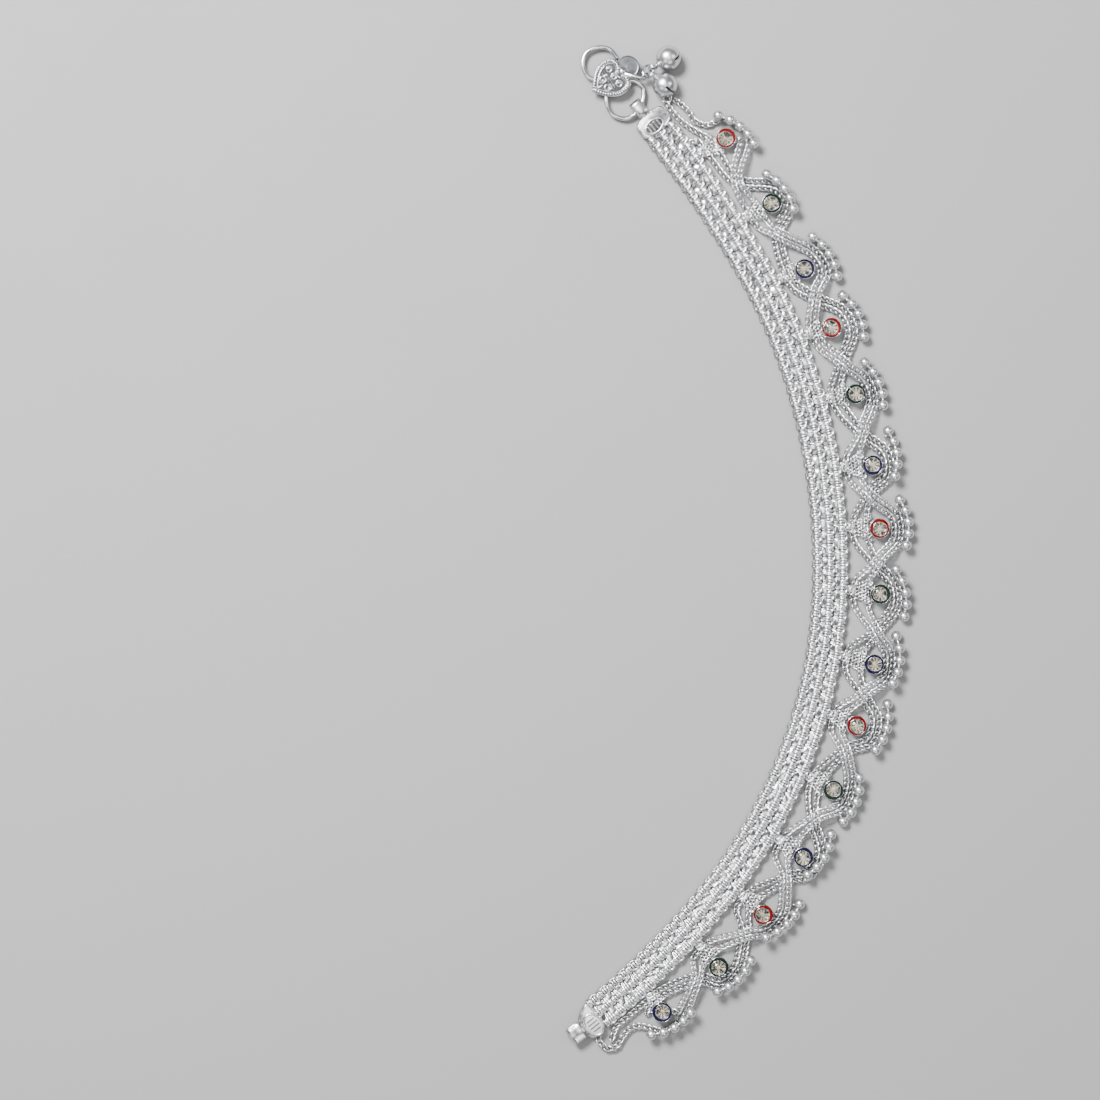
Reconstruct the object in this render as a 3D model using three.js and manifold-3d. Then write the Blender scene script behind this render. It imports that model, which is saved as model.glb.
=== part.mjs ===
// Payal anklet: a flat woven silver band with a lace of chain, set stones and balls on its outer side.
// It lies open on its flat underside. Millimetres, +Z up, origin under the middle of the whole.
import * as THREE from 'three';
import { mergeVertices } from 'three/addons/utils/BufferGeometryUtils.js';
import Module from 'manifold-3d';

const wasm = await Module();
wasm.setup();

// Driving dimensions
const GAP = 0.3;             // between pieces that touch
const BAND_LENGTH = 240;     // along the middle line, from the clasp cap's plaque to the end cap
const BAND_WIDTH = 8.4;
const BAND_THICK = 2.0;
const BAND_START = -51;      // heading of the middle line at the clasp end, degrees
const STRAND_D = 1.2;        // chain strands of the lace
const CUP_D = 4.66;          // stone settings
const STONE_D = 3.24;
const BALL_D = 2.5;
const BELL_D = 5.8;
const HOOK_EYE = 8.7;        // outer width of the hook's free eye
const HOOK_WIRE = 1.05;

// Turn of the middle line in each sixth of its length, degrees
const BENDS = [8.5, 17.2, 15.4, 19.4, 18.5, 12.5];

// Stones: place along (of BAND_LENGTH) and out from the middle line (of BAND_WIDTH); their row of balls: shift
// along (of STONE_PITCH), top (of BAND_WIDTH) and slope; the strands' crossing after them: share of the way to
// the next stone and place out (of BAND_WIDTH)
const STONES = [
  { at: 0.057, out: 1.32, shift: -0.015, top: 1.8, slope: 0.29, cross: 0.51, crossOut: 0.93 },
  { at: 0.131, out: 1.36, shift: -0.075, top: 1.83, slope: 0.08, cross: 0.42, crossOut: 1.08 },
  { at: 0.198, out: 1.23, shift: -0.025, top: 2.04, slope: 0.09, cross: 0.47, crossOut: 1.16 },
  { at: 0.256, out: 1.24, shift: -0.04, top: 2.08, slope: 0.1, cross: 0.52, crossOut: 1.21 },
  { at: 0.319, out: 1.3, shift: -0.065, top: 2.02, slope: 0.15, cross: 0.53, crossOut: 1.24 },
  { at: 0.385, out: 1.37, shift: -0.115, top: 2.09, slope: -0.04, cross: 0.47, crossOut: 1.2 },
  { at: 0.442, out: 1.38, shift: -0.06, top: 2.2, slope: 0.07, cross: 0.53, crossOut: 1.27 },
  { at: 0.501, out: 1.39, shift: -0.03, top: 2.09, slope: 0.24, cross: 0.55, crossOut: 1.34 },
  { at: 0.563, out: 1.41, shift: -0.1, top: 2.11, slope: 0.07, cross: 0.5, crossOut: 1.3 },
  { at: 0.619, out: 1.31, shift: -0.065, top: 2.15, slope: 0, cross: 0.43, crossOut: 1.24 },
  { at: 0.68, out: 1.3, shift: 0.025, top: 2.02, slope: 0.07, cross: 0.48, crossOut: 1.15 },
  { at: 0.745, out: 1.39, shift: -0.13, top: 1.86, slope: -0.04, cross: 0.42, crossOut: 1.3 },
  { at: 0.807, out: 1.35, shift: -0.085, top: 2.04, slope: -0.2, cross: 0.4, crossOut: 1.3 },
  { at: 0.869, out: 1.34, shift: -0.05, top: 1.97, slope: -0.1, cross: 0.36, crossOut: 1.14 },
  { at: 0.935, out: 1.12, shift: 0.015, top: 1.66, slope: -0.24 },
];
const STONE_PITCH = BAND_LENGTH / STONES.length;

const EDGE = BAND_WIDTH / 2;
const CUP_R = CUP_D / 2;
const BALL_R = BALL_D / 2;
const STRAND_R = STRAND_D / 2;
const STRAND_Z = STRAND_R + 0.15;                 // the strands lie just above the ground
const HOP = STRAND_D + GAP + 0.15;                // rise of the upper pair where the pairs cross
const PAIR = STRAND_D + GAP + 0.1;                      // spacing of the two strands of a pair
const FOOT_R = CUP_R * 0.69;                      // the cup's foot, between the strands
const FOOT_H = STRAND_Z + STRAND_R + GAP;         // the cup's rim hangs over the strands
const BESIDE = FOOT_R + GAP + STRAND_R;           // from a stone's middle to a strand beside its foot
const NEXT_TO_BALL = BALL_R + GAP + STRAND_R;
const TAB = EDGE * 0.16;                          // solder tabs that carry the lace

const degrees = THREE.MathUtils.degToRad;
const clamp = THREE.MathUtils.clamp;

// The point and heading of the middle line at a length along it; straight on past both ends
function bandFrame(at) {
  const step = BAND_LENGTH / BENDS.length;
  let x = 0, y = 0, heading = degrees(BAND_START), left = at;
  BENDS.forEach((bend, i) => {
    if (left <= 0) return;
    const run = Math.min(left, step);
    const turn = degrees(-bend) * run / step;
    const chord = turn ? run * Math.sin(turn / 2) / (turn / 2) : run;
    x += chord * Math.cos(heading + turn / 2);
    y += chord * Math.sin(heading + turn / 2);
    heading += turn;
    left -= run;
  });
  const rest = at < 0 ? at : left;
  return { x: x + rest * Math.cos(heading), y: y + rest * Math.sin(heading), heading };
}

// A point given along the band, out from its middle line and up
function onBand(at, out, up) {
  const f = bandFrame(at);
  return new THREE.Vector3(f.x - out * Math.sin(f.heading), f.y + out * Math.cos(f.heading), up);
}

// Turns a shape drawn along/out (or, standing, along/up) at the start of the band frame into its place
function atBand(at, standing, out = 0) {
  const f = bandFrame(at);
  const along = new THREE.Vector3(Math.cos(f.heading), Math.sin(f.heading), 0);
  const outward = new THREE.Vector3(-along.y, along.x, 0);
  const up = new THREE.Vector3(0, 0, 1);
  const m = standing
    ? new THREE.Matrix4().makeBasis(along, up, outward.clone().negate())
    : new THREE.Matrix4().makeBasis(along, outward, up);
  return m.setPosition(onBand(at, out, 0));
}

// Solids
function solid(geometry) {
  let g = geometry.clone();
  g.deleteAttribute('normal');
  g.deleteAttribute('uv');
  g = mergeVertices(g);
  return new wasm.Manifold(new wasm.Mesh({
    numProp: 3,
    vertProperties: new Float32Array(g.attributes.position.array),
    triVerts: new Uint32Array(g.index.array),
  }));
}

function geometryOf(manifold) {
  const mesh = manifold.getMesh();
  const g = new THREE.BufferGeometry();
  g.setAttribute('position', new THREE.BufferAttribute(new Float32Array(mesh.vertProperties), 3));
  g.setIndex(new THREE.BufferAttribute(new Uint32Array(mesh.triVerts), 1));
  g.computeVertexNormals();
  return g;
}

const fused = (...geometries) => geometries.map(solid).reduce((a, b) => a.add(b));

function outline(points) {
  return new THREE.Shape(points.map(([x, y]) => new THREE.Vector2(x, y)));
}

function circle(radius, sides) {
  return outline(Array.from({ length: sides }, (_, i) => {
    const a = 2 * Math.PI * (i + 0.5) / sides;
    return [radius * Math.cos(a), radius * Math.sin(a)];
  }));
}

function ellipse(rx, ry, sides) {
  return outline(Array.from({ length: sides }, (_, i) => {
    const a = 2 * Math.PI * i / sides;
    return [rx * Math.cos(a), ry * Math.sin(a)];
  }));
}

// A flat plate from one height to another
function plate(shape, low, high, matrix) {
  const g = new THREE.ExtrudeGeometry(shape, { depth: high - low, bevelEnabled: false, curveSegments: 5 });
  g.translate(0, 0, low);
  if (matrix) g.applyMatrix4(matrix);
  return g;
}

// A smooth line that is cut into steps exactly at its own points
class Knots extends THREE.CatmullRomCurve3 {
  getPointAt(u, target) { return this.getPoint(u, target); }
  getTangentAt(u, target) { return this.getTangent(u, target); }
}

function wire(points, radius, sides) {
  const path = new Knots(points, false, 'centripetal');
  return new THREE.ExtrudeGeometry(circle(radius, sides), {
    steps: points.length - 1, bevelEnabled: false, extrudePath: path,
  });
}

// A ring of wire around an axis
function ring(radius, wireRadius, centre, axis, sides = 12) {
  const g = new THREE.TorusGeometry(radius, wireRadius, 6, sides);
  g.applyQuaternion(new THREE.Quaternion().setFromUnitVectors(new THREE.Vector3(0, 0, 1), axis));
  return g.translate(centre.x, centre.y, centre.z);
}

function ballGeometry(radius, sides, rows) {
  const profile = Array.from({ length: rows + 1 }, (_, i) => {
    const a = Math.PI * i / rows - Math.PI / 2;
    const r = i === 0 || i === rows ? 0 : radius * Math.cos(a);
    return new THREE.Vector2(r, radius * Math.sin(a));
  });
  return new THREE.LatheGeometry(profile, sides);
}

// A closed body through round sections, each with its middle, facing and radius
function loft(sections, sides) {
  const points = [];
  const index = [];
  sections.forEach(({ middle, facing, radius }) => {
    const across = new THREE.Vector3(-facing.y, facing.x, 0).normalize();
    const up = new THREE.Vector3().crossVectors(facing, across).normalize();
    for (let k = 0; k < sides; k++) {
      const a = 2 * Math.PI * k / sides;
      points.push(middle.clone().addScaledVector(across, radius * Math.cos(a))
        .addScaledVector(up, radius * Math.sin(a)));
    }
  });
  const first = sections[0];
  const last = sections[sections.length - 1];
  points.push(first.tip, last.tip);
  for (let s = 0; s + 1 < sections.length; s++) {
    for (let k = 0; k < sides; k++) {
      const a = s * sides + k, b = s * sides + (k + 1) % sides;
      index.push(a, b, b + sides, a, b + sides, a + sides);
    }
  }
  const end = (sections.length - 1) * sides;
  for (let k = 0; k < sides; k++) {
    index.push(points.length - 2, (k + 1) % sides, k);
    index.push(points.length - 1, end + k, end + (k + 1) % sides);
  }
  const g = new THREE.BufferGeometry().setFromPoints(points);
  g.setIndex(index);
  g.computeVertexNormals();
  return g;
}

// The band: three woven rows as ridges over a flat underside, and a solder tab below each stone
class MiddleLine extends THREE.Curve {
  constructor(from, to) { super(); this.from = from; this.to = to; }
  getPoint(t, target = new THREE.Vector3()) {
    return target.copy(onBand(THREE.MathUtils.lerp(this.from, this.to, t), 0, 0));
  }
  getPointAt(u, target) { return this.getPoint(u, target); }
  getTangentAt(u, target = new THREE.Vector3()) {
    const { heading } = bandFrame(THREE.MathUtils.lerp(this.from, this.to, u));
    return target.set(Math.cos(heading), Math.sin(heading), 0);
  }
}

const CAP_END = 0.014 * BAND_LENGTH;      // the clasp cap reaches this far along
const TAIL_START = 0.982 * BAND_LENGTH;   // the end cap starts here

// Section of the band: out (of half the width) and up (of the thickness)
const BAND_SECTION = [
  { out: -1, up: 0 }, { out: 1, up: 0 }, { out: 1, up: 0.7 }, { out: 0.86, up: 1 }, { out: 0.5, up: 1 },
  { out: 0.33, up: 0.75 }, { out: 0.17, up: 1 }, { out: -0.19, up: 1 }, { out: -0.31, up: 0.75 },
  { out: -0.45, up: 1 }, { out: -0.86, up: 1 }, { out: -1, up: 0.7 },
];

// How the two pairs of strands pass a stone: the heights of their middles out from the middle line
function passing(stone) {
  const out = stone.out * BAND_WIDTH;
  const top = Math.max(stone.top * BAND_WIDTH, out + CUP_R + 1.3 * BALL_R + GAP);
  const low = Math.min(EDGE + TAB + GAP + STRAND_R, out - BESIDE - PAIR);
  const high = clamp(top - out - NEXT_TO_BALL, BESIDE + PAIR, CUP_R + GAP + STRAND_R + PAIR);
  return {
    at: stone.at * BAND_LENGTH, out, top,
    outer: [out + high - PAIR, out + high],
    inner: [low, Math.max(out - CUP_R - STRAND_R, low + PAIR)],
  };
}
const PASSING = STONES.map(passing);

function bandGeometry() {
  const section = outline(BAND_SECTION.map(({ out, up }) => [-up * BAND_THICK, out * EDGE]));
  const band = new THREE.ExtrudeGeometry(section, {
    steps: 48, bevelEnabled: false, extrudePath: new MiddleLine(CAP_END + GAP, TAIL_START - GAP),
  });
  const tabs = PASSING.map(({ at, inner }) => {
    const reach = inner[0] - STRAND_R - GAP;
    const half = 0.12 * BAND_WIDTH;
    const shape = outline([[-half, EDGE * 0.8], [half, EDGE * 0.8], [half * 0.8, reach], [-half * 0.8, reach]]);
    return plate(shape, 0.2 * BAND_THICK, 0.7 * BAND_THICK, atBand(at - 0.03 * STONE_PITCH, false));
  });
  return geometryOf(fused(band, ...tabs));
}

// The lace: one strand. The odd pair (0) passes outside the first stone, the even pair (1) inside it; side 0
// is the strand nearer the band and side 1 the one farther out
const OUTER_HALF = 0.15 * STONE_PITCH;
const INNER_HALF = 0.13 * STONE_PITCH;
const CROSS_HALF = 0.08 * STONE_PITCH;

// The middle line of a pair, with half the spacing of its two strands
function pairLine(pair) {
  const places = PASSING.map((p, i) => {
    const outside = i % 2 === pair;
    const [near, far] = outside ? p.outer : p.inner;
    const run = outside ? OUTER_HALF : INNER_HALF;
    const lean = outside ? 0.6 * STONES[i].slope * run : 0;
    return { at: p.at, run, lean, out: (near + far) / 2, half: (far - near) / 2 };
  });
  return places.flatMap((here, i) => {
    const line = [-1, 1].map((end) => ({
      at: here.at + end * here.run, out: here.out + end * here.lean, half: here.half, up: STRAND_Z,
    }));
    if (i + 1 === places.length) return line;
    const next = places[i + 1];
    const at = THREE.MathUtils.lerp(here.at, next.at, STONES[i].cross);
    const out = STONES[i].crossOut * BAND_WIDTH;
    const slope = (next.out - here.out) / (next.at - next.run - here.at - here.run);
    const up = STRAND_Z + (pair === 0 ? HOP : 0);
    const crossing = [-1, 1].map((end) => ({
      at: at + end * CROSS_HALF, out: out + end * slope * CROSS_HALF, half: PAIR / 2, up,
    }));
    return [...line, ...crossing];
  });
}

// One strand of a pair, set off from the pair's middle line square to its course
function strandPoints(pair, side) {
  const line = pairLine(pair);
  const points = line.map((p, k) => {
    const before = line[Math.max(k - 1, 0)], after = line[Math.min(k + 1, line.length - 1)];
    const one = new THREE.Vector2(p.at - before.at, p.out - before.out).normalize();
    const two = new THREE.Vector2(after.at - p.at, after.out - p.out).normalize();
    const course = one.clone().add(two).normalize();
    const reach = (side ? 1 : -1) * p.half / course.dot(k ? one : two);
    return onBand(p.at - course.y * reach, p.out + course.x * reach, p.up);
  });
  return pair === 0 && side === 0 ? points.slice(1, -1) : points;
}

// Where the strands run on to the caps or end free: along (of BAND_LENGTH), out (of BAND_WIDTH)
const LEAD_IN = {
  farOutside: [[-0.006, 0.83], [0.002, 0.9], [0.015, 0.97], [0.026, 0.94], [0.037, 1.18], [0.0395, 1.5]],
  nearOutside: [],
  farInside: [[-0.006, 0.63], [0.016, 0.63], [0.029, 0.73], [0.041, 0.88]],
  nearInside: [[0.043, 0.67]],
};
const LEAD_OUT = {
  farOutside: [[0.953, 1.27], [0.96, 1.0], [0.968, 0.9], [0.978, 0.95], [0.988, 1.05], [0.996, 0.94], [0.9985, 0.6]],
  nearOutside: [],
  farInside: [[0.947, 0.89]],
  nearInside: [[0.954, 0.62], [0.965, 0.615], [0.976, 0.62], [0.9835, 0.73], [0.988, 0.83]],
};

const STRANDS = [[0, 1], [0, 0], [1, 1], [1, 0]].map(([pair, side]) => {
  const key = (side ? 'far' : 'near') + (pair === 0 ? 'Outside' : 'Inside');
  const lead = (table) => table[key].map(([at, out]) => onBand(at * BAND_LENGTH, out * BAND_WIDTH, STRAND_Z));
  return [...lead(LEAD_IN), ...strandPoints(pair, side), ...lead(LEAD_OUT)];
});
const STRAND_SAMPLES = STRANDS.flatMap((points) => (
  new Knots(points, false, 'centripetal').getPoints(8 * points.length)));

// The lowest height at which a ball at a place in the plan is clear of every strand and of the ground
function restingHeight(place) {
  const clear = NEXT_TO_BALL * 1.04;
  return STRAND_SAMPLES.reduce((height, p) => {
    const d = Math.hypot(p.x - place.x, p.y - place.y);
    return d < clear ? Math.max(height, p.z + Math.sqrt(clear ** 2 - d ** 2)) : height;
  }, BALL_R);
}

// A setting: a foot between the strands, and a rim over them with a flat enamelled top and a well
const RIM_TOP = FOOT_H + 0.25 * CUP_D;
const WELL_FLOOR = FOOT_H + 0.07 * CUP_D;
const WELL_R = STONE_D / 2 + GAP;

function settingGeometry({ at, out }) {
  const profile = [
    [0, 0], [FOOT_R, 0], [FOOT_R, FOOT_H], [CUP_R, FOOT_H + 0.02 * CUP_D], [CUP_R, RIM_TOP],
    [WELL_R, RIM_TOP], [WELL_R, WELL_FLOOR], [0, WELL_FLOOR],
  ].map(([r, z]) => new THREE.Vector2(r, z));
  const g = new THREE.LatheGeometry(profile, 10).rotateX(Math.PI / 2);
  return geometryOf(solid(g.applyMatrix4(atBand(at, false, out))));
}

// A cut stone: table, a ring of eight stars and kites, and a flat-cut back
function stoneGeometry({ at, out }) {
  const r = STONE_D / 2;
  const girdle = RIM_TOP - 0.02 * STONE_D;
  const table = girdle + 0.17 * STONE_D;
  const back = WELL_FLOOR + GAP;
  const points = [];
  for (let k = 0; k < 8; k++) points.push([r * 0.56, k * 45 + 22.5, table]);
  for (let k = 0; k < 16; k++) points.push([r, k * 22.5, girdle]);
  points.push([0, 0, table], [0, 0, back]);
  const index = [];
  for (let k = 0; k < 8; k++) {
    const t = k, u = (k + 1) % 8;
    const g0 = 8 + 2 * k, g1 = 8 + 2 * k + 1, g2 = 8 + (2 * k + 2) % 16, g3 = 8 + (2 * k + 3) % 16;
    index.push(24, t, u, t, g2, u, t, g1, g2, t, g0, g1);
    index.push(25, g1, g0, 25, g2, g1);
  }
  const g = new THREE.BufferGeometry().setFromPoints(points.map(([radius, angle, z]) => (
    new THREE.Vector3(radius * Math.cos(degrees(angle)), radius * Math.sin(degrees(angle)), z))));
  g.setIndex(index);
  g.computeVertexNormals();
  return geometryOf(solid(g.applyMatrix4(atBand(at, false, out))));
}

// A row of five balls, linked by short wires, on the outside of a scallop
const BALLS = 5;
const BALL_STEP = 0.15 * STONE_PITCH;
const ROW_CURVE = 0.8 / STONE_PITCH;      // how fast the row falls away from its top

function ballRowGeometry(index) {
  const { at, top } = PASSING[index];
  const { shift, slope } = STONES[index];
  const middles = Array.from({ length: BALLS }, (_, k) => {
    const u = (k - (BALLS - 1) / 2) * BALL_STEP;
    const place = onBand(at + shift * STONE_PITCH + u, top + slope * u - ROW_CURVE * u * u, 0);
    return place.setZ(restingHeight(place));
  });
  const facings = middles.map((_, k) => (
    middles[Math.min(k + 1, BALLS - 1)].clone().sub(middles[Math.max(k - 1, 0)]).normalize()));
  const sections = [];
  middles.forEach((middle, k) => {
    for (const tilt of [-48, 0, 48]) {
      const a = degrees(tilt);
      sections.push({
        middle: middle.clone().addScaledVector(facings[k], BALL_R * Math.sin(a)),
        facing: facings[k], radius: BALL_R * Math.cos(a),
      });
    }
    if (k + 1 < BALLS) {
      sections.push({
        middle: middle.clone().lerp(middles[k + 1], 0.5), radius: 0.3 * BALL_R,
        facing: facings[k].clone().add(facings[k + 1]).normalize(),
      });
    }
  });
  sections[0].tip = middles[0].clone().addScaledVector(facings[0], -BALL_R);
  sections[sections.length - 1].tip = middles[BALLS - 1].clone().addScaledVector(facings[BALLS - 1], BALL_R);
  return loft(sections, 10);
}

// A loop of strip standing on the end of a cap, along (of BAND_WIDTH) from the cap's edge
const LOOP_LONG = 0.52 * BAND_WIDTH;
const LOOP_WIDE = 0.33 * BAND_WIDTH;
const LOOP_WALL = 0.5;
const LOOP_HIGH = HOOK_WIRE + 2 * GAP + 2 * LOOP_WALL + 0.2;

function stripLoop(at, out, wide, direction) {
  const bore = { from: LOOP_WALL, to: LOOP_LONG - 0.8 * LOOP_WALL - 0.1 * BAND_WIDTH };
  const shape = outline([
    [0.25, 0], [LOOP_LONG, 0], [LOOP_LONG, LOOP_HIGH], [0.6, LOOP_HIGH], [0, LOOP_HIGH - 0.8], [0, 0.6],
  ]);
  shape.holes.push(outline([
    [bore.from, LOOP_WALL], [bore.from, LOOP_HIGH - LOOP_WALL - 0.1], [bore.from + 0.1, LOOP_HIGH - LOOP_WALL],
    [bore.to, LOOP_HIGH - LOOP_WALL], [bore.to, LOOP_WALL],
  ]));
  const g = plate(shape, -wide / 2, wide / 2);
  if (direction < 0) g.rotateY(Math.PI);
  return g.applyMatrix4(atBand(at, true, out));
}

// The cast cap at the clasp end: plate, raised oval plaque and strip loop
const CLASP_LOOP_OUT = -0.06 * BAND_WIDTH;
const CLASP_LOOP_TIP = -0.7 * BAND_WIDTH;

function claspCapGeometry() {
  const w = BAND_WIDTH;
  const body = outline([
    [CAP_END, -0.49 * w], [CAP_END, 0.5 * w], [-0.1 * w, 0.5 * w], [-0.2 * w, 0.38 * w], [-0.25 * w, 0],
    [-0.19 * w, -0.33 * w], [-0.06 * w, -0.49 * w],
  ]);
  const plaque = ellipse(0.21 * w, 0.315 * w, 16);
  const seat = new THREE.Matrix4().makeTranslation(0.185 * w, -0.045 * w, 0);
  const frame = atBand(0, false);
  return geometryOf(fused(
    plate(body, 0, 0.9 * BAND_THICK, frame),
    plate(plaque, 0.3 * BAND_THICK, 1.3 * BAND_THICK, frame.clone().multiply(seat)),
    stripLoop(CLASP_LOOP_TIP, CLASP_LOOP_OUT, LOOP_WIDE, 1),
  ));
}

// The cast cap at the other end: tapered plate, oval plaque across the band and a wider strip loop
function endCapGeometry() {
  const w = BAND_WIDTH;
  const body = outline([
    [0, -0.46 * w], [0.33 * w, -0.36 * w], [0.6 * w, -0.19 * w], [0.62 * w, 0.36 * w], [0.5 * w, 0.5 * w],
    [0, 0.5 * w],
  ]);
  const plaque = ellipse(0.27 * w, 0.35 * w, 16);
  const seat = new THREE.Matrix4().makeTranslation(0.28 * w, 0.17 * w, 0);
  const frame = atBand(TAIL_START, false);
  return geometryOf(fused(
    plate(body, 0, 0.9 * BAND_THICK, frame),
    plate(plaque, 0.3 * BAND_THICK, 1.3 * BAND_THICK, frame.clone().multiply(seat)),
    stripLoop(TAIL_START + 0.6 * w + LOOP_LONG - 0.1 * w, 0.08 * w, 0.45 * w, -1),
  ));
}

// The hook: an S of wire with two eyes, a heart plate over its middle, a round disc, and a lug for the bells.
// Its places are shares of HOOK_EYE, from the point where its wire runs through the clasp cap's loop
const HOOK_Z = LOOP_HIGH / 2;
const HOOK_AT = onBand(CLASP_LOOP_TIP + 0.235 * BAND_WIDTH, CLASP_LOOP_OUT, HOOK_Z);
const HOOK_PATH = [
  [-0.57, 1.32], [-0.78, 1.585], [-1.06, 1.64], [-1.395, 1.505], [-1.505, 1.2], [-1.385, 0.88], [-1.08, 0.745],
  [-0.73, 0.735], [-0.38, 0.755], [-0.09, 0.73], [0.085, 0.585], [0.125, 0.37], [0.08, 0.15], [0, 0],
  [-0.12, -0.165], [-0.395, -0.27], [-0.715, -0.15], [-0.87, 0.145], [-0.87, 0.395],
];
const HEART = { x: -0.8, y: 0.725, size: 1.04, turn: -56 };
const DISC = { x: -0.307, y: 1.093, radius: 0.307 };
const DOME = { x: -0.45, y: 0.97, radius: 0.12 };
const LUG = { x: 0.156, y: 0.833, up: 0.16 };

function onHook(x, y, up = 0) {
  return new THREE.Vector3(HOOK_AT.x + x * HOOK_EYE, HOOK_AT.y + y * HOOK_EYE, HOOK_Z + up);
}

function heartShape(size) {
  const shape = new THREE.Shape();
  shape.moveTo(0, 0.34 * size);
  shape.bezierCurveTo(0.1 * size, 0.5 * size, 0.48 * size, 0.56 * size, 0.5 * size, 0.16 * size);
  shape.bezierCurveTo(0.5 * size, -0.16 * size, 0.22 * size, -0.36 * size, 0, -0.52 * size);
  shape.bezierCurveTo(-0.22 * size, -0.36 * size, -0.5 * size, -0.16 * size, -0.5 * size, 0.16 * size);
  shape.bezierCurveTo(-0.48 * size, 0.56 * size, -0.1 * size, 0.5 * size, 0, 0.34 * size);
  return shape;
}

const RING_R = 0.24 * BELL_D;             // the bells' jump ring
const RING_WIRE = 0.3;
const RING_TILT = 35;                     // rising towards the bells, degrees
const RING_LOOP = 0.9;                   // loops and lug that the ring runs through
const RING_LOOP_WIRE = 0.2;

// A point on the jump ring at an angle around it, seen from above
function onRing(centre, angle, radius) {
  const a = degrees(angle), tilt = degrees(RING_TILT);
  return new THREE.Vector3(Math.cos(a) * Math.cos(tilt), Math.sin(a), Math.cos(a) * Math.sin(tilt))
    .multiplyScalar(radius).add(centre);
}

const LUG_ANGLE = -126;
const LUG_AT = onHook(LUG.x, LUG.y, LUG.up * HOOK_EYE);
const RING_AT = LUG_AT.clone().multiplyScalar(2).sub(onRing(LUG_AT, LUG_ANGLE, RING_R));

function ringTangent(angle) {
  return onRing(RING_AT, angle + 90, 1).sub(RING_AT).normalize();
}

function hookGeometry() {
  const heart = heartShape(HEART.size * HOOK_EYE);
  const heartAt = onHook(HEART.x, HEART.y);
  const heartSeat = new THREE.Matrix4().makeRotationZ(degrees(HEART.turn)).setPosition(heartAt.x, heartAt.y, 0);
  const discAt = onHook(DISC.x, DISC.y);
  const domeAt = onHook(DOME.x, DOME.y, 0.13 * HOOK_EYE);
  const plateLow = HOOK_Z + 0.35 * HOOK_WIRE;
  const armFrom = onHook(-0.5, 0.93, 0.1 * HOOK_EYE);
  const lugSide = armFrom.clone().sub(LUG_AT).projectOnPlane(ringTangent(LUG_ANGLE)).setLength(RING_LOOP);
  const armTo = LUG_AT.clone().add(lugSide);
  const arm = wire([armFrom, armFrom.clone().lerp(armTo, 0.5), armTo], 0.4 * HOOK_WIRE, 6);
  return geometryOf(fused(
    wire(HOOK_PATH.map(([x, y]) => onHook(x, y)), HOOK_WIRE / 2, 6),
    plate(heart, plateLow, plateLow + 1.3, heartSeat),
    plate(circle(DISC.radius * HOOK_EYE, 16), plateLow + 0.1, plateLow + 0.8,
      new THREE.Matrix4().makeTranslation(discAt.x, discAt.y, 0)),
    ballGeometry(DOME.radius * HOOK_EYE, 8, 4).translate(domeAt.x, domeAt.y, domeAt.z),
    arm,
    ring(RING_LOOP, RING_LOOP_WIRE + 0.05, LUG_AT, ringTangent(LUG_ANGLE), 10),
  ));
}

// The bells: hollow balls with a slit, each with a loop on the jump ring
const BELLS = [
  { angle: 28, x: 1.65, y: 1.08, slit: 40 },
  { angle: -31, x: 1.36, y: -1.09, slit: 10 },
];

function bellGeometry({ angle, x, y, slit }) {
  const r = BELL_D / 2;
  const centre = new THREE.Vector3(RING_AT.x + x * r, RING_AT.y + y * r, r);
  const loopAt = onRing(RING_AT, angle, RING_R + 0.15);
  const away = centre.clone().sub(loopAt).normalize();
  const neck = wire([onRing(RING_AT, angle, RING_R + 0.15 + RING_LOOP),
    centre.clone().addScaledVector(away, -0.8 * r)], 0.12 * r, 6);
  const hollow = ballGeometry(r * 0.86, 8, 5).translate(centre.x, centre.y, centre.z);
  const cut = new THREE.BoxGeometry(0.2 * r, 1.5 * r, 1.3 * r).translate(0, 0, 0.85 * r);
  cut.rotateZ(degrees(slit));
  cut.applyQuaternion(new THREE.Quaternion().setFromUnitVectors(new THREE.Vector3(0, 0, 1), away));
  cut.translate(centre.x, centre.y, centre.z);
  return geometryOf(fused(
    ballGeometry(r, 12, 7).translate(centre.x, centre.y, centre.z), neck,
    ring(RING_LOOP, RING_LOOP_WIRE, loopAt, ringTangent(angle), 10),
  ).subtract(solid(hollow)).subtract(solid(cut)));
}

// Materials and the assembly
const COLOURS = {
  silver: 0xd6d8da, red_enamel: 0xa01018, green_enamel: 0x16382a, blue_enamel: 0x1c2260, crystal: 0xefe9d8,
};
const ENAMELS = ['red_enamel', 'green_enamel', 'blue_enamel'];

const anklet = new THREE.Group();
function addNode(name, geometry, slot) {
  const glossy = slot === 'silver';
  const material = new THREE.MeshStandardMaterial({
    color: COLOURS[slot], metalness: glossy ? 1 : 0, roughness: glossy ? 0.25 : 0.1,
  });
  material.name = slot;
  const mesh = new THREE.Mesh(geometry, material);
  mesh.name = name;
  anklet.add(mesh);
}

const number = (i) => String(i + 1).padStart(2, '0');

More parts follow.
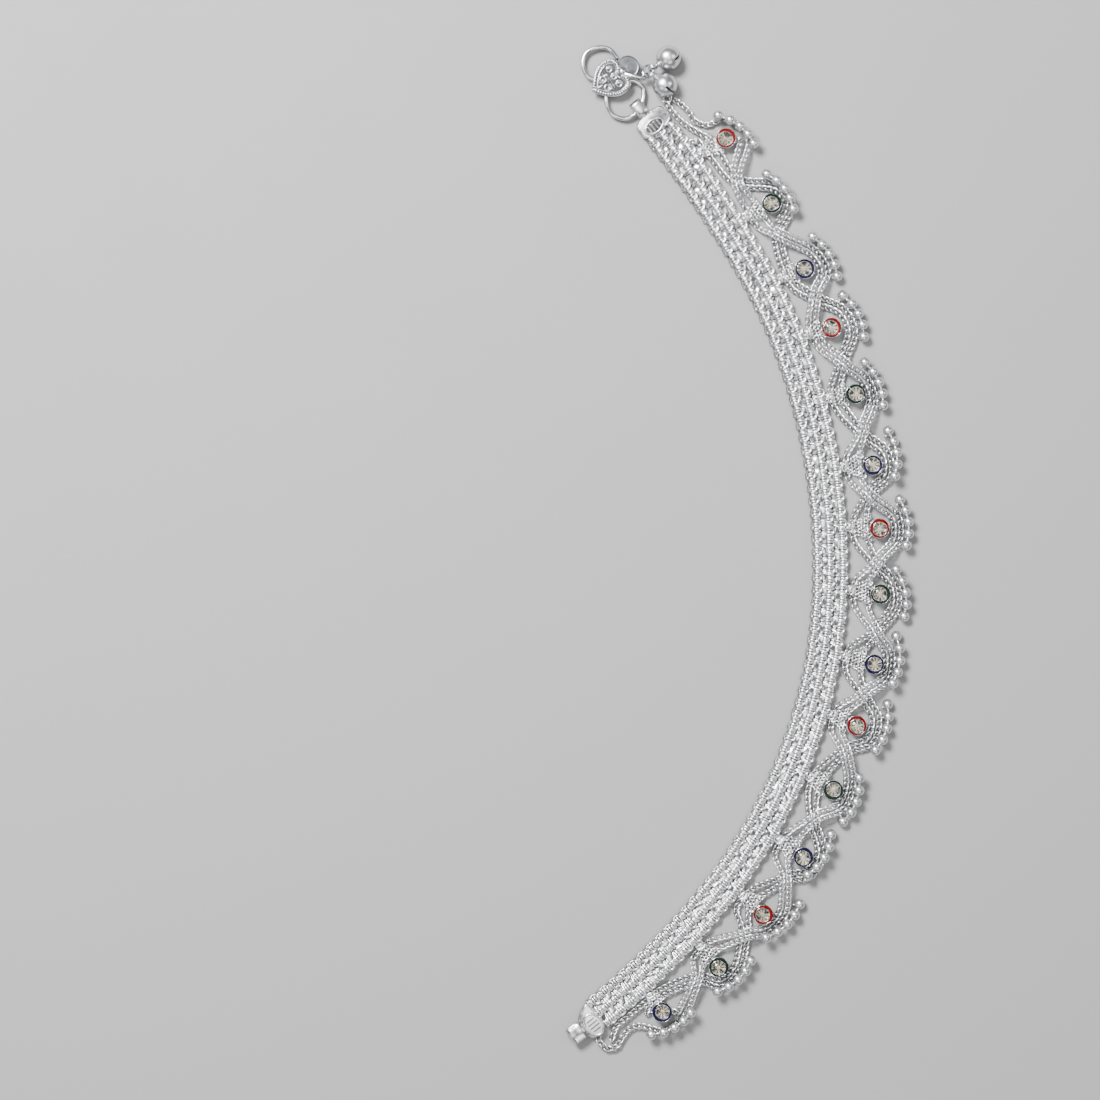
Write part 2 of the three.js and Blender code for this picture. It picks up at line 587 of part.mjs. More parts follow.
addNode('woven_band', bandGeometry(), 'silver');
STRANDS.forEach((points, i) => addNode(`lace_strand_${i + 1}`, wire(points, STRAND_R, 8), 'silver'));
PASSING.forEach((p, i) => {
  addNode(`setting_${number(i)}`, settingGeometry(p), ENAMELS[i % 3]);
  addNode(`stone_${number(i)}`, stoneGeometry(p), 'crystal');
  addNode(`bead_row_${number(i)}`, ballRowGeometry(i), 'silver');
});
addNode('clasp_cap', claspCapGeometry(), 'silver');
addNode('end_cap', endCapGeometry(), 'silver');
addNode('heart_hook', hookGeometry(), 'silver');
addNode('jump_ring', ring(RING_R, RING_WIRE, RING_AT,
  new THREE.Vector3(-Math.sin(degrees(RING_TILT)), 0, Math.cos(degrees(RING_TILT)))), 'silver');
BELLS.forEach((bell, i) => addNode(`bell_${i + 1}`, bellGeometry(bell), 'silver'));

// The origin goes under the middle of the whole
const bounds = new THREE.Box3().setFromObject(anklet);
const middle = bounds.getCenter(new THREE.Vector3());
anklet.children.forEach((mesh) => mesh.geometry.translate(-middle.x, -middle.y, -bounds.min.z));

export default anklet;
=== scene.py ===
"""Payal anklet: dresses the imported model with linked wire, chain, set stones, balls, hook and bells.

Lengths are millimetres until a mesh is made. Places along the band are measured on its middle line, and
out is the distance from that line towards the lace.
"""

import math
import random

import bpy
import numpy as np
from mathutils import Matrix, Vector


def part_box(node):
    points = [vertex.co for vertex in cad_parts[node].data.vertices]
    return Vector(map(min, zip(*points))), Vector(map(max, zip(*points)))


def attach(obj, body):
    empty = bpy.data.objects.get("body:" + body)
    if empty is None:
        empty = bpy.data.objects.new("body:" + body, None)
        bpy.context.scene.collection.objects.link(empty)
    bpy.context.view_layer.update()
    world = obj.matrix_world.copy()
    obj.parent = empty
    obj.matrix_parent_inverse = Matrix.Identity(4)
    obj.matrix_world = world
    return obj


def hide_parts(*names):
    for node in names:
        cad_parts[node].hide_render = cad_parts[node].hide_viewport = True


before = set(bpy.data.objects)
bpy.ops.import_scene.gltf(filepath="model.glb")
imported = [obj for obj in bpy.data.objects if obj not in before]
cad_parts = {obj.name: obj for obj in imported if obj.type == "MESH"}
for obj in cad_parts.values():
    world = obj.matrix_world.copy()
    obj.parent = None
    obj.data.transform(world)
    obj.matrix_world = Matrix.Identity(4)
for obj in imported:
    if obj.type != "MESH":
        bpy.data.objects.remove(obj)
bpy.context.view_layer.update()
MM = 0.001

# Sizes and places shared with the model
GAP = 0.3
BAND_LENGTH = 240
BAND_WIDTH = 8.4
BAND_THICK = 2.0
BAND_START = -51
STRAND_D = 1.2
CUP_D = 4.66
STONE_D = 3.24
BALL_D = 2.5
BELL_D = 5.8
HOOK_EYE = 8.7
HOOK_WIRE = 1.05
BENDS = (8.5, 17.2, 15.4, 19.4, 18.5, 12.5)

# One row for each stone: at and out; shift, top and slope of its row of balls; where the strands cross next,
# lengthwise and crosswise. Lengthwise in shares of the band's length or of the stones' pitch, crosswise in
# shares of the band's width
STONES = (
    (0.057, 1.32, -0.015, 1.8, 0.29, 0.51, 0.93),
    (0.131, 1.36, -0.075, 1.83, 0.08, 0.42, 1.08),
    (0.198, 1.23, -0.025, 2.04, 0.09, 0.47, 1.16),
    (0.256, 1.24, -0.04, 2.08, 0.1, 0.52, 1.21),
    (0.319, 1.3, -0.065, 2.02, 0.15, 0.53, 1.24),
    (0.385, 1.37, -0.115, 2.09, -0.04, 0.47, 1.2),
    (0.442, 1.38, -0.06, 2.2, 0.07, 0.53, 1.27),
    (0.501, 1.39, -0.03, 2.09, 0.24, 0.55, 1.34),
    (0.563, 1.41, -0.1, 2.11, 0.07, 0.5, 1.3),
    (0.619, 1.31, -0.065, 2.15, 0, 0.43, 1.24),
    (0.68, 1.3, 0.025, 2.02, 0.07, 0.48, 1.15),
    (0.745, 1.39, -0.13, 1.86, -0.04, 0.42, 1.3),
    (0.807, 1.35, -0.085, 2.04, -0.2, 0.4, 1.3),
    (0.869, 1.34, -0.05, 1.97, -0.1, 0.36, 1.14),
    (0.935, 1.12, 0.015, 1.66, -0.24, 0, 0),
)
STONE_PITCH = BAND_LENGTH / len(STONES)
EDGE = BAND_WIDTH / 2
CUP_R = CUP_D / 2
BALL_R = BALL_D / 2
STRAND_R = STRAND_D / 2
STRAND_Z = STRAND_R + 0.15
HOP = STRAND_D + GAP + 0.15
PAIR = STRAND_D + GAP + 0.1
FOOT_R = CUP_R * 0.69
FOOT_H = STRAND_Z + STRAND_R + GAP
BESIDE = FOOT_R + GAP + STRAND_R
NEXT_TO_BALL = BALL_R + GAP + STRAND_R
TAB = EDGE * 0.16
CAP_END = 0.014 * BAND_LENGTH
TAIL_START = 0.982 * BAND_LENGTH
RIM_TOP = FOOT_H + 0.25 * CUP_D
WELL_FLOOR = FOOT_H + 0.07 * CUP_D


def clamp(value, low, high):
    return max(low, min(high, value))


def unit(v):
    v = np.asarray(v, float)
    return v / np.linalg.norm(v)


def unit_rows(rows):
    return rows / np.linalg.norm(rows, axis=1)[:, None]


def tangents_of(path, closed):
    return unit_rows(np.roll(path, -1, 0) - np.roll(path, 1, 0) if closed else np.gradient(path, axis=0))


def turns(count):
    """Angles set evenly round a full turn."""
    return np.arange(count) * 2 * math.pi / count


def oval(rx, ry, sides=40):
    a = turns(sides)
    return np.stack([rx * np.cos(a), ry * np.sin(a)], axis=1)


def level(line, height):
    return np.column_stack([line, np.full(len(line), height)])


def band_frame(at):
    """Point and heading of the middle line, before the shift to the model's origin."""
    step = BAND_LENGTH / len(BENDS)
    x = y = 0.0
    heading, left = math.radians(BAND_START), at
    for bend in BENDS:
        if left <= 0:
            break
        run = min(left, step)
        turn = math.radians(-bend) * run / step
        chord = run * math.sin(turn / 2) / (turn / 2)
        x += chord * math.cos(heading + turn / 2)
        y += chord * math.sin(heading + turn / 2)
        heading += turn
        left -= run
    rest = at if at < 0 else left
    return x + rest * math.cos(heading), y + rest * math.sin(heading), heading


def raw_on_band(at, out, up=0.0):
    x, y, heading = band_frame(at)
    return np.array([x - out * math.sin(heading), y + out * math.cos(heading), up])


# The shift to the model's origin, from where the first setting stands
_low, _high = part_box("setting_01")
_first = raw_on_band(STONES[0][0] * BAND_LENGTH, STONES[0][1] * BAND_WIDTH)
SHIFT = np.array([(_low.x + _high.x) / 2 / MM - _first[0], (_low.y + _high.y) / 2 / MM - _first[1], 0.0])


def on_band(at, out, up=0.0):
    return raw_on_band(at, out, up) + SHIFT


def band_axes(at):
    """Columns: along the band, out from it, up."""
    heading = band_frame(at)[2]
    along = np.array([math.cos(heading), math.sin(heading), 0.0])
    return np.stack([along, [-along[1], along[0], 0.0], [0.0, 0.0, 1.0]], axis=1)


# Mesh building: a body is a list of (points, faces, material index)
class Body:
    def __init__(self):
        self.points, self.faces, self.slots, self.count = [], [], [], 0

    def add(self, points, faces, slot=0):
        points = np.asarray(points, float).reshape(-1, 3)
        for group in faces:
            group = np.asarray(group, int)
            if group.size:
                self.faces.append(group + self.count)
                self.slots.append(np.full(len(group), slot, int))
        self.points.append(points)
        self.count += len(points)
        return self

    def stamp(self, piece, axes, places, slot=0):
        """Copies of one piece, each turned by its axes and put at its place."""
        points, faces = piece
        for turn, place in zip(axes, places):
            self.add(points @ np.asarray(turn).T + place, faces, slot)
        return self

    def make(self, name, materials, slot="silver", smooth=True, node=None):
        mesh = bpy.data.meshes.new(name)
        points = np.concatenate(self.points) * MM
        loops = np.concatenate([g.ravel() for g in self.faces])
        sizes = np.concatenate([np.full(len(g), g.shape[1]) for g in self.faces])
        starts = np.concatenate([[0], np.cumsum(sizes)[:-1]])
        mesh.vertices.add(len(points))
        mesh.vertices.foreach_set("co", points.astype(np.float32).ravel())
        mesh.loops.add(len(loops))
        mesh.loops.foreach_set("vertex_index", loops.astype(np.int32))
        mesh.polygons.add(len(sizes))
        mesh.polygons.foreach_set("loop_start", starts.astype(np.int32))
        mesh.polygons.foreach_set("material_index", np.concatenate(self.slots).astype(np.int32))
        mesh.polygons.foreach_set("use_smooth", np.full(len(sizes), smooth))
        mesh.update(calc_edges=True)
        mesh.validate()
        for m in materials if isinstance(materials, (list, tuple)) else [materials]:
            mesh.materials.append(m)
        piece = bpy.data.objects.new(name, mesh)
        bpy.context.collection.objects.link(piece)
        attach(piece, "root")
        if node:
            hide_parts(*([node] if isinstance(node, str) else node))
        return piece


def join(*pieces):
    """Several (points, faces) as one."""
    points, faces, count = [], [], 0
    for p, f in pieces:
        points.append(np.asarray(p, float))
        faces += [np.asarray(g, int) + count for g in f]
        count += len(p)
    return np.concatenate(points), faces


def moved(piece, axes=None, place=(0, 0, 0)):
    points, faces = piece
    points = np.asarray(points, float)
    if axes is not None:
        points = points @ np.asarray(axes).T
    return points + np.asarray(place, float), faces


def grid_faces(rows, columns, wrap_rows=False, wrap_columns=True):
    r = np.arange(rows if wrap_rows else rows - 1)
    c = np.arange(columns if wrap_columns else columns - 1)
    r, c = np.meshgrid(r, c, indexing="ij")
    r2, c2 = (r + 1) % rows, (c + 1) % columns
    quads = np.stack([r * columns + c, r * columns + c2, r2 * columns + c2, r2 * columns + c], axis=-1)
    return quads.reshape(-1, 4)


def sweep(path, section, closed=False, up=(0, 0, 1), scale=None):
    """A section of (side, up) points carried along a path; its frame follows the path without twisting."""
    path = np.asarray(path, float)
    n = len(path)
    tangents = tangents_of(path, closed)
    normal = np.asarray(up, float)
    normal = unit(normal - tangents[0] * (normal @ tangents[0]))
    section = np.asarray(section, float)
    scale = np.ones(n) if scale is None else np.asarray(scale, float)
    rings = []
    for k in range(n):
        normal = unit(normal - tangents[k] * (normal @ tangents[k]))
        side = np.cross(normal, tangents[k])
        rings.append(path[k] + scale[k] * (section[:, :1] * side + section[:, 1:] * normal))
    points = np.concatenate(rings)
    m = len(section)
    faces = [grid_faces(n, m, wrap_rows=closed)[:, ::-1]]
    if not closed:
        faces += [np.arange(m)[None, :], (np.arange(m)[::-1] + (n - 1) * m)[None, :]]
    return points, faces


def tube(path, radius, sides=8, closed=False, up=(0, 0, 1), flat=1.0, taper=None):
    return sweep(path, oval(radius, radius * flat, sides), closed, up, taper)


def smooth_path(points, per_segment, closed=False):
    """The centripetal spline that the model's wires follow."""
    p = np.asarray(points, float)
    out = []
    count = len(p) if closed else len(p) - 1
    for i in range(count):
        p1, p2 = p[i], p[(i + 1) % len(p)]
        p0 = p[i - 1] if i or closed else 2 * p[0] - p[1]
        p3 = p[(i + 2) % len(p)] if closed or i + 2 < len(p) else 2 * p[-1] - p[-2]
        d0, d1, d2 = (max(np.linalg.norm(a - b) ** 0.5, 1e-4) for a, b in ((p0, p1), (p1, p2), (p2, p3)))
        t1 = ((p1 - p0) / d0 - (p2 - p0) / (d0 + d1) + (p2 - p1) / d1) * d1
        t2 = ((p2 - p1) / d1 - (p3 - p1) / (d1 + d2) + (p3 - p2) / d2) * d1
        for s in np.arange(per_segment) / per_segment:
            out.append(p1 + t1 * s + (-3 * p1 + 3 * p2 - 2 * t1 - t2) * s * s
                       + (2 * p1 - 2 * p2 + t1 + t2) * s ** 3)
    if not closed:
        out.append(p[-1])
    return np.array(out)


def mirrored(half):
    """A path that is the same on both sides of its middle: the half ends on the middle."""
    half = np.asarray(half, float)
    return np.concatenate([half, (half * [-1, 1, 1])[-2::-1]])


def ring(radius, wire, centre=(0, 0, 0), axis=(0, 0, 1), around=28, sides=8):
    axis = unit(axis)
    one = unit(np.cross(axis, [0.3, 0.9, 0.1]))
    two = np.cross(axis, one)
    a = turns(around)[:, None]
    path = np.asarray(centre) + radius * (np.cos(a) * one + np.sin(a) * two)
    return tube(path, wire, sides, closed=True, up=axis)


def lathe(profile, sides, centre=(0, 0, 0), axes=None):
    """Turned about its own upright axis; a profile point on the axis closes the end."""
    rings = np.concatenate([level(oval(r, r, sides), z) for r, z in profile])
    return moved((rings, [grid_faces(len(profile), sides)]), axes, centre)


def ball(radius, centre, sides=22, rows=14, axis=(0, 0, 1)):
    angles = np.linspace(-math.pi / 2, math.pi / 2, rows + 1)
    profile = [(max(radius * math.cos(t), 1e-3 * radius), radius * math.sin(t)) for t in angles]
    axis = unit(axis)
    one = unit(np.cross(axis, [0.31, 0.17, 0.9] if abs(axis[2]) < 0.9 else [1, 0, 0]))
    axes = np.stack([one, np.cross(axis, one), axis], axis=1)
    return lathe(profile, sides, centre, axes)


def inset(outline, by):
    p = np.asarray(outline, float)
    before, after = p - np.roll(p, 1, 0), np.roll(p, -1, 0) - p
    t = unit_rows(unit_rows(before) + unit_rows(after))
    return p + by * np.stack([-t[:, 1], t[:, 0]], axis=1)


def slab(outline, low, high, bevel=0.2, under=0.0):
    """A plate with rounded upper edges; the outline runs anticlockwise."""
    steps = [(under, low), (0.0, low + under), (0.0, high - bevel)]
    steps += [(bevel * (1 - math.cos(t)), high - bevel + bevel * math.sin(t))
              for t in (math.pi / 6, math.pi / 3, math.pi / 2)]
    rings = [level(inset(outline, d), z) for d, z in steps]
    m = len(outline)
    faces = [grid_faces(len(rings), m), np.arange(m)[::-1][None, :],
             (np.arange(m) + (len(rings) - 1) * m)[None, :]]
    return np.concatenate(rings), faces


def rounded(outline):
    p = np.asarray(outline, float)
    for _ in range(2):
        p = np.stack([0.78 * p + 0.22 * np.roll(p, -1, 0), 0.22 * p + 0.78 * np.roll(p, -1, 0)],
                     axis=1).reshape(-1, 2)
    return p


def level_wire(line, height, wire, sides=8, flat=1.0):
    return tube(level(line, height), wire, sides, closed=True, flat=flat)


# Materials
NOISE_LOW, NOISE_HIGH = 0.3, 0.7              # the part of the noise that shows as wear


def node_material(name, colour, roughness, metallic=0.0, **sockets):
    m = bpy.data.materials.new(name)
    m.use_nodes = True
    bsdf = m.node_tree.nodes["Principled BSDF"]
    bsdf.inputs["Base Color"].default_value = (*colour, 1)
    bsdf.inputs["Roughness"].default_value = roughness
    bsdf.inputs["Metallic"].default_value = metallic
    for key, value in sockets.items():
        bsdf.inputs[key.replace("_", " ")].default_value = value
    return m, m.node_tree, bsdf


def add_node(tree, kind, **inputs):
    node = tree.nodes.new("ShaderNode" + kind)
    for key, value in inputs.items():
        node.inputs[key.replace("_", " ")].default_value = value
    return node


def wear(tree, bsdf, scale, low, high, bump=0.0, tone=None):
    """Uneven polish: roughness from fine noise, with an optional bump and a range of tone."""
    coords = add_node(tree, "TexCoord")
    noise = add_node(tree, "TexNoise", Scale=scale, Detail=4)
    tree.links.new(coords.outputs["Object"], noise.inputs["Vector"])
    spread = add_node(tree, "MapRange", From_Min=NOISE_LOW, From_Max=NOISE_HIGH, To_Min=low, To_Max=high)
    tree.links.new(noise.outputs["Fac"], spread.inputs["Value"])
    tree.links.new(spread.outputs["Result"], bsdf.inputs["Roughness"])
    if tone:
        ramp = add_node(tree, "ValToRGB")
        for stop, at, colour in zip(ramp.color_ramp.elements, (NOISE_LOW, NOISE_HIGH), tone):
            stop.position, stop.color = at, (*colour, 1)
        tree.links.new(noise.outputs["Fac"], ramp.inputs["Fac"])
        tree.links.new(ramp.outputs["Color"], bsdf.inputs["Base Color"])
    if bump:
        node = add_node(tree, "Bump", Strength=bump, Distance=0.05 * MM)
        tree.links.new(noise.outputs["Fac"], node.inputs["Height"])
        tree.links.new(node.outputs["Normal"], bsdf.inputs["Normal"])


def shade(tree, bsdf, source, low, high, darkest):
    """Painted shade: darker silver low between the wires, or on surfaces that face sideways."""
    coords, split = add_node(tree, "TexCoord"), add_node(tree, "SeparateXYZ")
    tree.links.new(coords.outputs[source], split.inputs["Vector"])
    spread = add_node(tree, "MapRange", From_Min=low, From_Max=high, To_Min=darkest, To_Max=1.0)
    tree.links.new(split.outputs["Z"], spread.inputs["Value"])
    mix = add_node(tree, "Mix")
    mix.data_type, mix.blend_type = "RGBA", "MULTIPLY"
    mix.inputs["Factor"].default_value = 1.0
    tree.links.new(bsdf.inputs["Base Color"].links[0].from_socket, mix.inputs["A"])
    tree.links.new(spread.outputs["Result"], mix.inputs["B"])
    tree.links.new(mix.outputs["Result"], bsdf.inputs["Base Color"])


def silver(name, light, dark, low, high, scale, bump=0.15, depth_shade=None, sides=None, metallic=1.0):
    m, tree, bsdf = node_material(name, light, (low + high) / 2, metallic)
    wear(tree, bsdf, scale, low, high, bump, (dark, light))
    # painted shade: darker low down between the wires, and darker where the surface faces sideways
    if depth_shade:
        shade(tree, bsdf, "Object", depth_shade[0] * MM, depth_shade[1] * MM, depth_shade[2])
    if sides:
        shade(tree, bsdf, "Normal", *sides)
    return m


# Painted shade towards the sides: upward part of the normal between which the silver darkens, and the
# darkest tone
SIDES = (0.1, 0.6, 0.35)
LINK_TONES = ((0.95, 0.95, 0.96), (0.84, 0.84, 0.86), 0.16, 0.32, 1500, 0.1)

# Light and dark tone, range of roughness, grain, bump; painted shade by height or towards the sides
POLISHED = silver("polished_silver", (0.97, 0.97, 0.98), (0.91, 0.91, 0.93), 0.27, 0.34, 800, 0.06,
                  sides=SIDES)
BELL = silver("bell_silver", (0.93, 0.93, 0.94), (0.8, 0.8, 0.82), 0.26, 0.36, 400, 0.12, sides=SIDES)
BRIGHT = silver("bright_silver", (0.94, 0.94, 0.95), (0.82, 0.82, 0.84), 0.12, 0.26, 900, sides=SIDES)
# painted shade on wire and chain: dark below the first height, full tone above the second, at the darkest
# tone given last
WIRE = silver("wire_silver", *LINK_TONES, depth_shade=(0.8, 1.7, 0.3))
CHAIN = silver("chain_silver", *LINK_TONES, depth_shade=(0.35, 1.25, 0.2))
CAST = silver("cast_silver", (0.86, 0.86, 0.87), (0.72, 0.72, 0.74), 0.2, 0.34, 900, 0.2, sides=SIDES)
FROST = silver("frosted_silver", (0.98, 0.98, 0.99), (0.93, 0.93, 0.94), 0.45, 0.55, 900, 0.1)
# painted reflection: the disc's silver is darkened to stand in for the dark overhead it reflects
SATIN_PAINTED_DARK = silver("satin_silver_painted_dark", (0.17, 0.175, 0.185), (0.11, 0.115, 0.125), 0.28, 0.4, 600, 0.2)
SUNK = silver("sunk_silver", (0.07, 0.07, 0.075), (0.03, 0.03, 0.035), 0.4, 0.55, 900, 0.3, metallic=0.4)
# painted shade: near-black silver set where only shade falls, under the band, in the stones' folds and
# inside the bells
PAINTED_SHADE = silver("painted_shade_silver", (0.2, 0.2, 0.21), (0.08, 0.08, 0.09), 0.4, 0.6, 500, 0.4)
FOIL = silver("stone_foil", (1.0, 0.94, 0.8), (0.97, 0.88, 0.7), 0.28, 0.38, 1200, 0.05, metallic=0.35)


def enamel(name, deep, light):
    m, tree, bsdf = node_material(name, deep, 0.25, Specular_IOR_Level=0.25)
    wear(tree, bsdf, 1100, 0.2, 0.3, 0.08, (deep, light))
    return m


ENAMELS = [(name, enamel(name, deep, light)) for name, deep, light in (
    ("red_enamel", (0.09, 0.0, 0.0004), (0.17, 0.0004, 0.001)),
    ("green_enamel", (0.001, 0.008, 0.005), (0.003, 0.018, 0.01)),
    ("blue_enamel", (0.002, 0.001, 0.016), (0.006, 0.004, 0.04)),
)]
CRYSTAL, _tree, _bsdf = node_material("crystal", (1.0, 0.98, 0.92), 0.02, Transmission_Weight=1.0, IOR=1.6)
wear(_tree, _bsdf, 1500, 0.0, 0.04)


# Courses of the lace
def passing(stone):
    at, out = stone[0] * BAND_LENGTH, stone[1] * BAND_WIDTH
    top = max(stone[3] * BAND_WIDTH, out + CUP_R + 1.3 * BALL_R + GAP)
    low = min(EDGE + TAB + GAP + STRAND_R, out - BESIDE - PAIR)
    high = clamp(top - out - NEXT_TO_BALL, BESIDE + PAIR, CUP_R + GAP + STRAND_R + PAIR)
    inner = (low, max(out - CUP_R - STRAND_R, low + PAIR))
    return {"at": at, "out": out, "top": top, "outer": (out + high - PAIR, out + high), "inner": inner}


PASSING = [passing(s) for s in STONES]
OUTER_HALF, INNER_HALF, CROSS_HALF = (k * STONE_PITCH for k in (0.15, 0.13, 0.08))


def pair_line(pair):
    """Middle line of a pair of strands: rows of at, out, half spacing, height."""
    places = []
    for i, p in enumerate(PASSING):
        outside = i % 2 == pair
        near, far = p["outer"] if outside else p["inner"]
        run = OUTER_HALF if outside else INNER_HALF
        lean = 0.6 * STONES[i][4] * run if outside else 0.0
        places.append((p["at"], run, lean, (near + far) / 2, (far - near) / 2))
    rows = []
    for i, (at, run, lean, out, half) in enumerate(places):
        rows += [(at + end * run, out + end * lean, half, STRAND_Z) for end in (-1, 1)]
        if i + 1 < len(places):
            next_at, next_run, _, next_out, _ = places[i + 1]
            cross = at + (next_at - at) * STONES[i][5]
            middle = STONES[i][6] * BAND_WIDTH
            slope = (next_out - out) / (next_at - next_run - at - run)
            up = STRAND_Z + (HOP if pair == 0 else 0)
            rows += [(cross + end * CROSS_HALF, middle + end * slope * CROSS_HALF, PAIR / 2, up)
                     for end in (-1, 1)]
    return np.array(rows)


def strand_points(pair, side):
    line = pair_line(pair)
    points = []
    for k, (at, out, half, up) in enumerate(line):
        before, after = line[max(k - 1, 0), :2], line[min(k + 1, len(line) - 1), :2]
        one = unit(line[k, :2] - before) if k else np.zeros(2)
        two = unit(after - line[k, :2]) if k + 1 < len(line) else np.zeros(2)
        course = unit(one + two)
        reach = (1 if side else -1) * half / (course @ (one if k else two))
        points.append(on_band(at - course[1] * reach, out + course[0] * reach, up))
    return points[1:-1] if (pair, side) == (0, 0) else points


# Where the strands run on to the caps or end free: (of BAND_LENGTH, of BAND_WIDTH), for strands 1 to 4
LEAD_IN = (
    ((-0.006, 0.83), (0.002, 0.9), (0.015, 0.97), (0.026, 0.94), (0.037, 1.18), (0.0395, 1.5)),
    (),
    ((-0.006, 0.63), (0.016, 0.63), (0.029, 0.73), (0.041, 0.88)),
    ((0.043, 0.67),),
)
LEAD_OUT = (
    ((0.953, 1.27), (0.96, 1.0), (0.968, 0.9), (0.978, 0.95), (0.988, 1.05), (0.996, 0.94), (0.9985, 0.6)),
    (),
    ((0.947, 0.89),),
    ((0.954, 0.62), (0.965, 0.615), (0.976, 0.62), (0.9835, 0.73), (0.988, 0.83)),
)


def lead(table):
    return [on_band(at * BAND_LENGTH, out * BAND_WIDTH, STRAND_Z) for at, out in table]


STRANDS = [
    smooth_path(lead(LEAD_IN[i]) + strand_points(*side) + lead(LEAD_OUT[i]), 8)
    for i, side in enumerate(((0, 1), (0, 0), (1, 1), (1, 0)))
]
STRAND_SAMPLES = np.concatenate(STRANDS)


def strands_near(place, reach):
    """Distances and heights of the strands where they pass within reach, seen from above."""
    d = np.hypot(STRAND_SAMPLES[:, 0] - place[0], STRAND_SAMPLES[:, 1] - place[1])
    return d[d < reach], STRAND_SAMPLES[d < reach, 2]


def resting_height(place):
    """The lowest height at which a ball here is clear of the strands and the ground."""
    clear = NEXT_TO_BALL * 1.04
    d, heights = strands_near(place, clear)
    return (heights + np.sqrt(clear ** 2 - d ** 2)).max(initial=BALL_R)


# The woven band
LINKS = 77
LINK_PITCH = (TAIL_START - CAP_END) / LINKS
ROW_TOPS = (1.02 * EDGE, 0.3 * EDGE, -0.39 * EDGE)      # outer edge of each row's arches
ARCH_WIRE, LEG_WIRE, HAIRPIN_WIRE, UNDER_WIRE = 0.3, 0.26, 0.23, 0.32
LINK_PLAY, LINK_LEAN = (0.05, 0.05, 0.04), 0.07
random.seed(7)


def weave_row(name, row):
    """One row: wide arches, a pair of legs inside each, and a narrow hairpin between each two."""
    last = row == 2
    reach = -0.62 * EDGE if last else -0.72 * EDGE
    outer = [(0.84, -2.0, 1.3), (0.92, -1.5, 1.56), (0.94, -0.98, 1.66), (0.78, -0.55, 1.64),
             (0.42, -0.36, 1.56), (0, -0.28, 1.52)]
    if last:
        half = [(0.0, reach + 0.32, 0.9), (0.45, reach + 0.4, 0.95), (0.8, reach + 0.72, 1.1), *outer[1:]]
        full = mirrored(half)[:-1]
        arch = tube(smooth_path(full, 3, closed=True), ARCH_WIRE, 8, closed=True)
    else:
        half = [(0.42, reach - 0.15, 0.8), (0.62, reach + 0.3, 1.0), *outer]
        arch = tube(smooth_path(mirrored(half), 3), ARCH_WIRE, 8)
    foot = reach + 0.5 if last else reach - 0.1
    leg = [(0.26, foot, 0.85), (0.28, -2.1, 1.25), (0.29, -1.6, 1.58), (0.3, -1.15, 1.68),
           (0.3, -0.88, 1.56), (0.31, -0.78, 1.2)]
    legs = [tube(smooth_path(np.array(leg) * [s, 1, 1], 3), LEG_WIRE, 8) for s in (1, -1)]
    hairpin = mirrored([(0.24, -2.3, 0.95), (0.24, -1.6, 1.4), (0.23, -1.0, 1.46), (0.18, -0.55, 1.4),
                        (0.0, -0.34, 1.32)])
    narrow = tube(smooth_path(hairpin, 3), HAIRPIN_WIRE, 7)
    narrow = moved(narrow, place=(LINK_PITCH / 2, 0, 0))
    piece = join(arch, *legs, narrow)
    low = mirrored([(0.8, reach + 0.2, 0.34), (0.9, -1.2, 0.4), (0.6, -0.6, 0.38), (0, -0.42, 0.36)])
    under = tube(smooth_path(low[:-1] if last else low, 2, closed=last), UNDER_WIRE, 6, closed=last)
    body = Body()
    offset = 0.5 if row == 1 else 0.0
    for k in range(LINKS if row != 1 else LINKS + 1):
        at = CAP_END + (k + 0.5 - offset) * LINK_PITCH
        jitter = [random.uniform(-play, play) for play in LINK_PLAY]
        lean = random.uniform(-LINK_LEAN, LINK_LEAN)
        turn = np.array([[1, lean, 0], [0, 1, 0], [0, 0, 1]])
        body.stamp(piece, [band_axes(at) @ turn], [on_band(at, ROW_TOPS[row]) + jitter])
        body.stamp(under, [band_axes(at)], [on_band(at, ROW_TOPS[row])], 1)
    if row != 1:
        body.stamp(moved(narrow, place=(-LINK_PITCH / 2, 0, 0)), [band_axes(CAP_END)],
                   [on_band(CAP_END + 0.1, ROW_TOPS[row])])
    return body.make(name, [WIRE, CAST], node="woven_band")


for _row, _name in enumerate(("weave_outer_row", "weave_middle_row", "weave_inner_row")):
    weave_row(_name, _row)


def facets():
    """Flattened links between the rows, each tilted a little its own way."""
    piece = slab(rounded([(-0.8, -0.6), (0.8, -0.6), (0.82, 0.6), (-0.82, 0.6)]), 0, 0.36, 0.14)
    body = Body()
    for row in (0, 1):
        for k in range(LINKS - 1):
            at = CAP_END + (k + 1.0 + (0.5 if row == 1 else 0.0)) * LINK_PITCH
            if at > TAIL_START:
                continue
            a, b = random.uniform(-0.2, 0.2), random.uniform(-0.25, 0.25)
            tilt = np.array([[1, 0, a], [0, 1, b], [-a, -b, 1]])
            body.stamp(piece, [band_axes(at) @ tilt], [on_band(at, ROW_TOPS[row] - 0.6 * EDGE, 1.36)])
    return body.make("weave_facets", BRIGHT, node="woven_band")


facets()


def band_core():
    """The underside, and a dark sheet of painted shade in the depth between the links."""
    body = Body()
    stations = np.linspace(CAP_END, TAIL_START, 120)
    path = [on_band(at, 0) for at in stations]
    half = EDGE - 0.55
    section = [(half, 0.35), (half, 0.8), (half - 0.3, 1.0), (-half + 0.3, 1.0), (-half, 0.8),
               (-half, 0.35), (-half + 0.2, 0.2), (half - 0.2, 0.2)]
    body.add(*sweep(path, section))
    return body.make("band_core", PAINTED_SHADE, smooth=False, node="woven_band")


band_core()


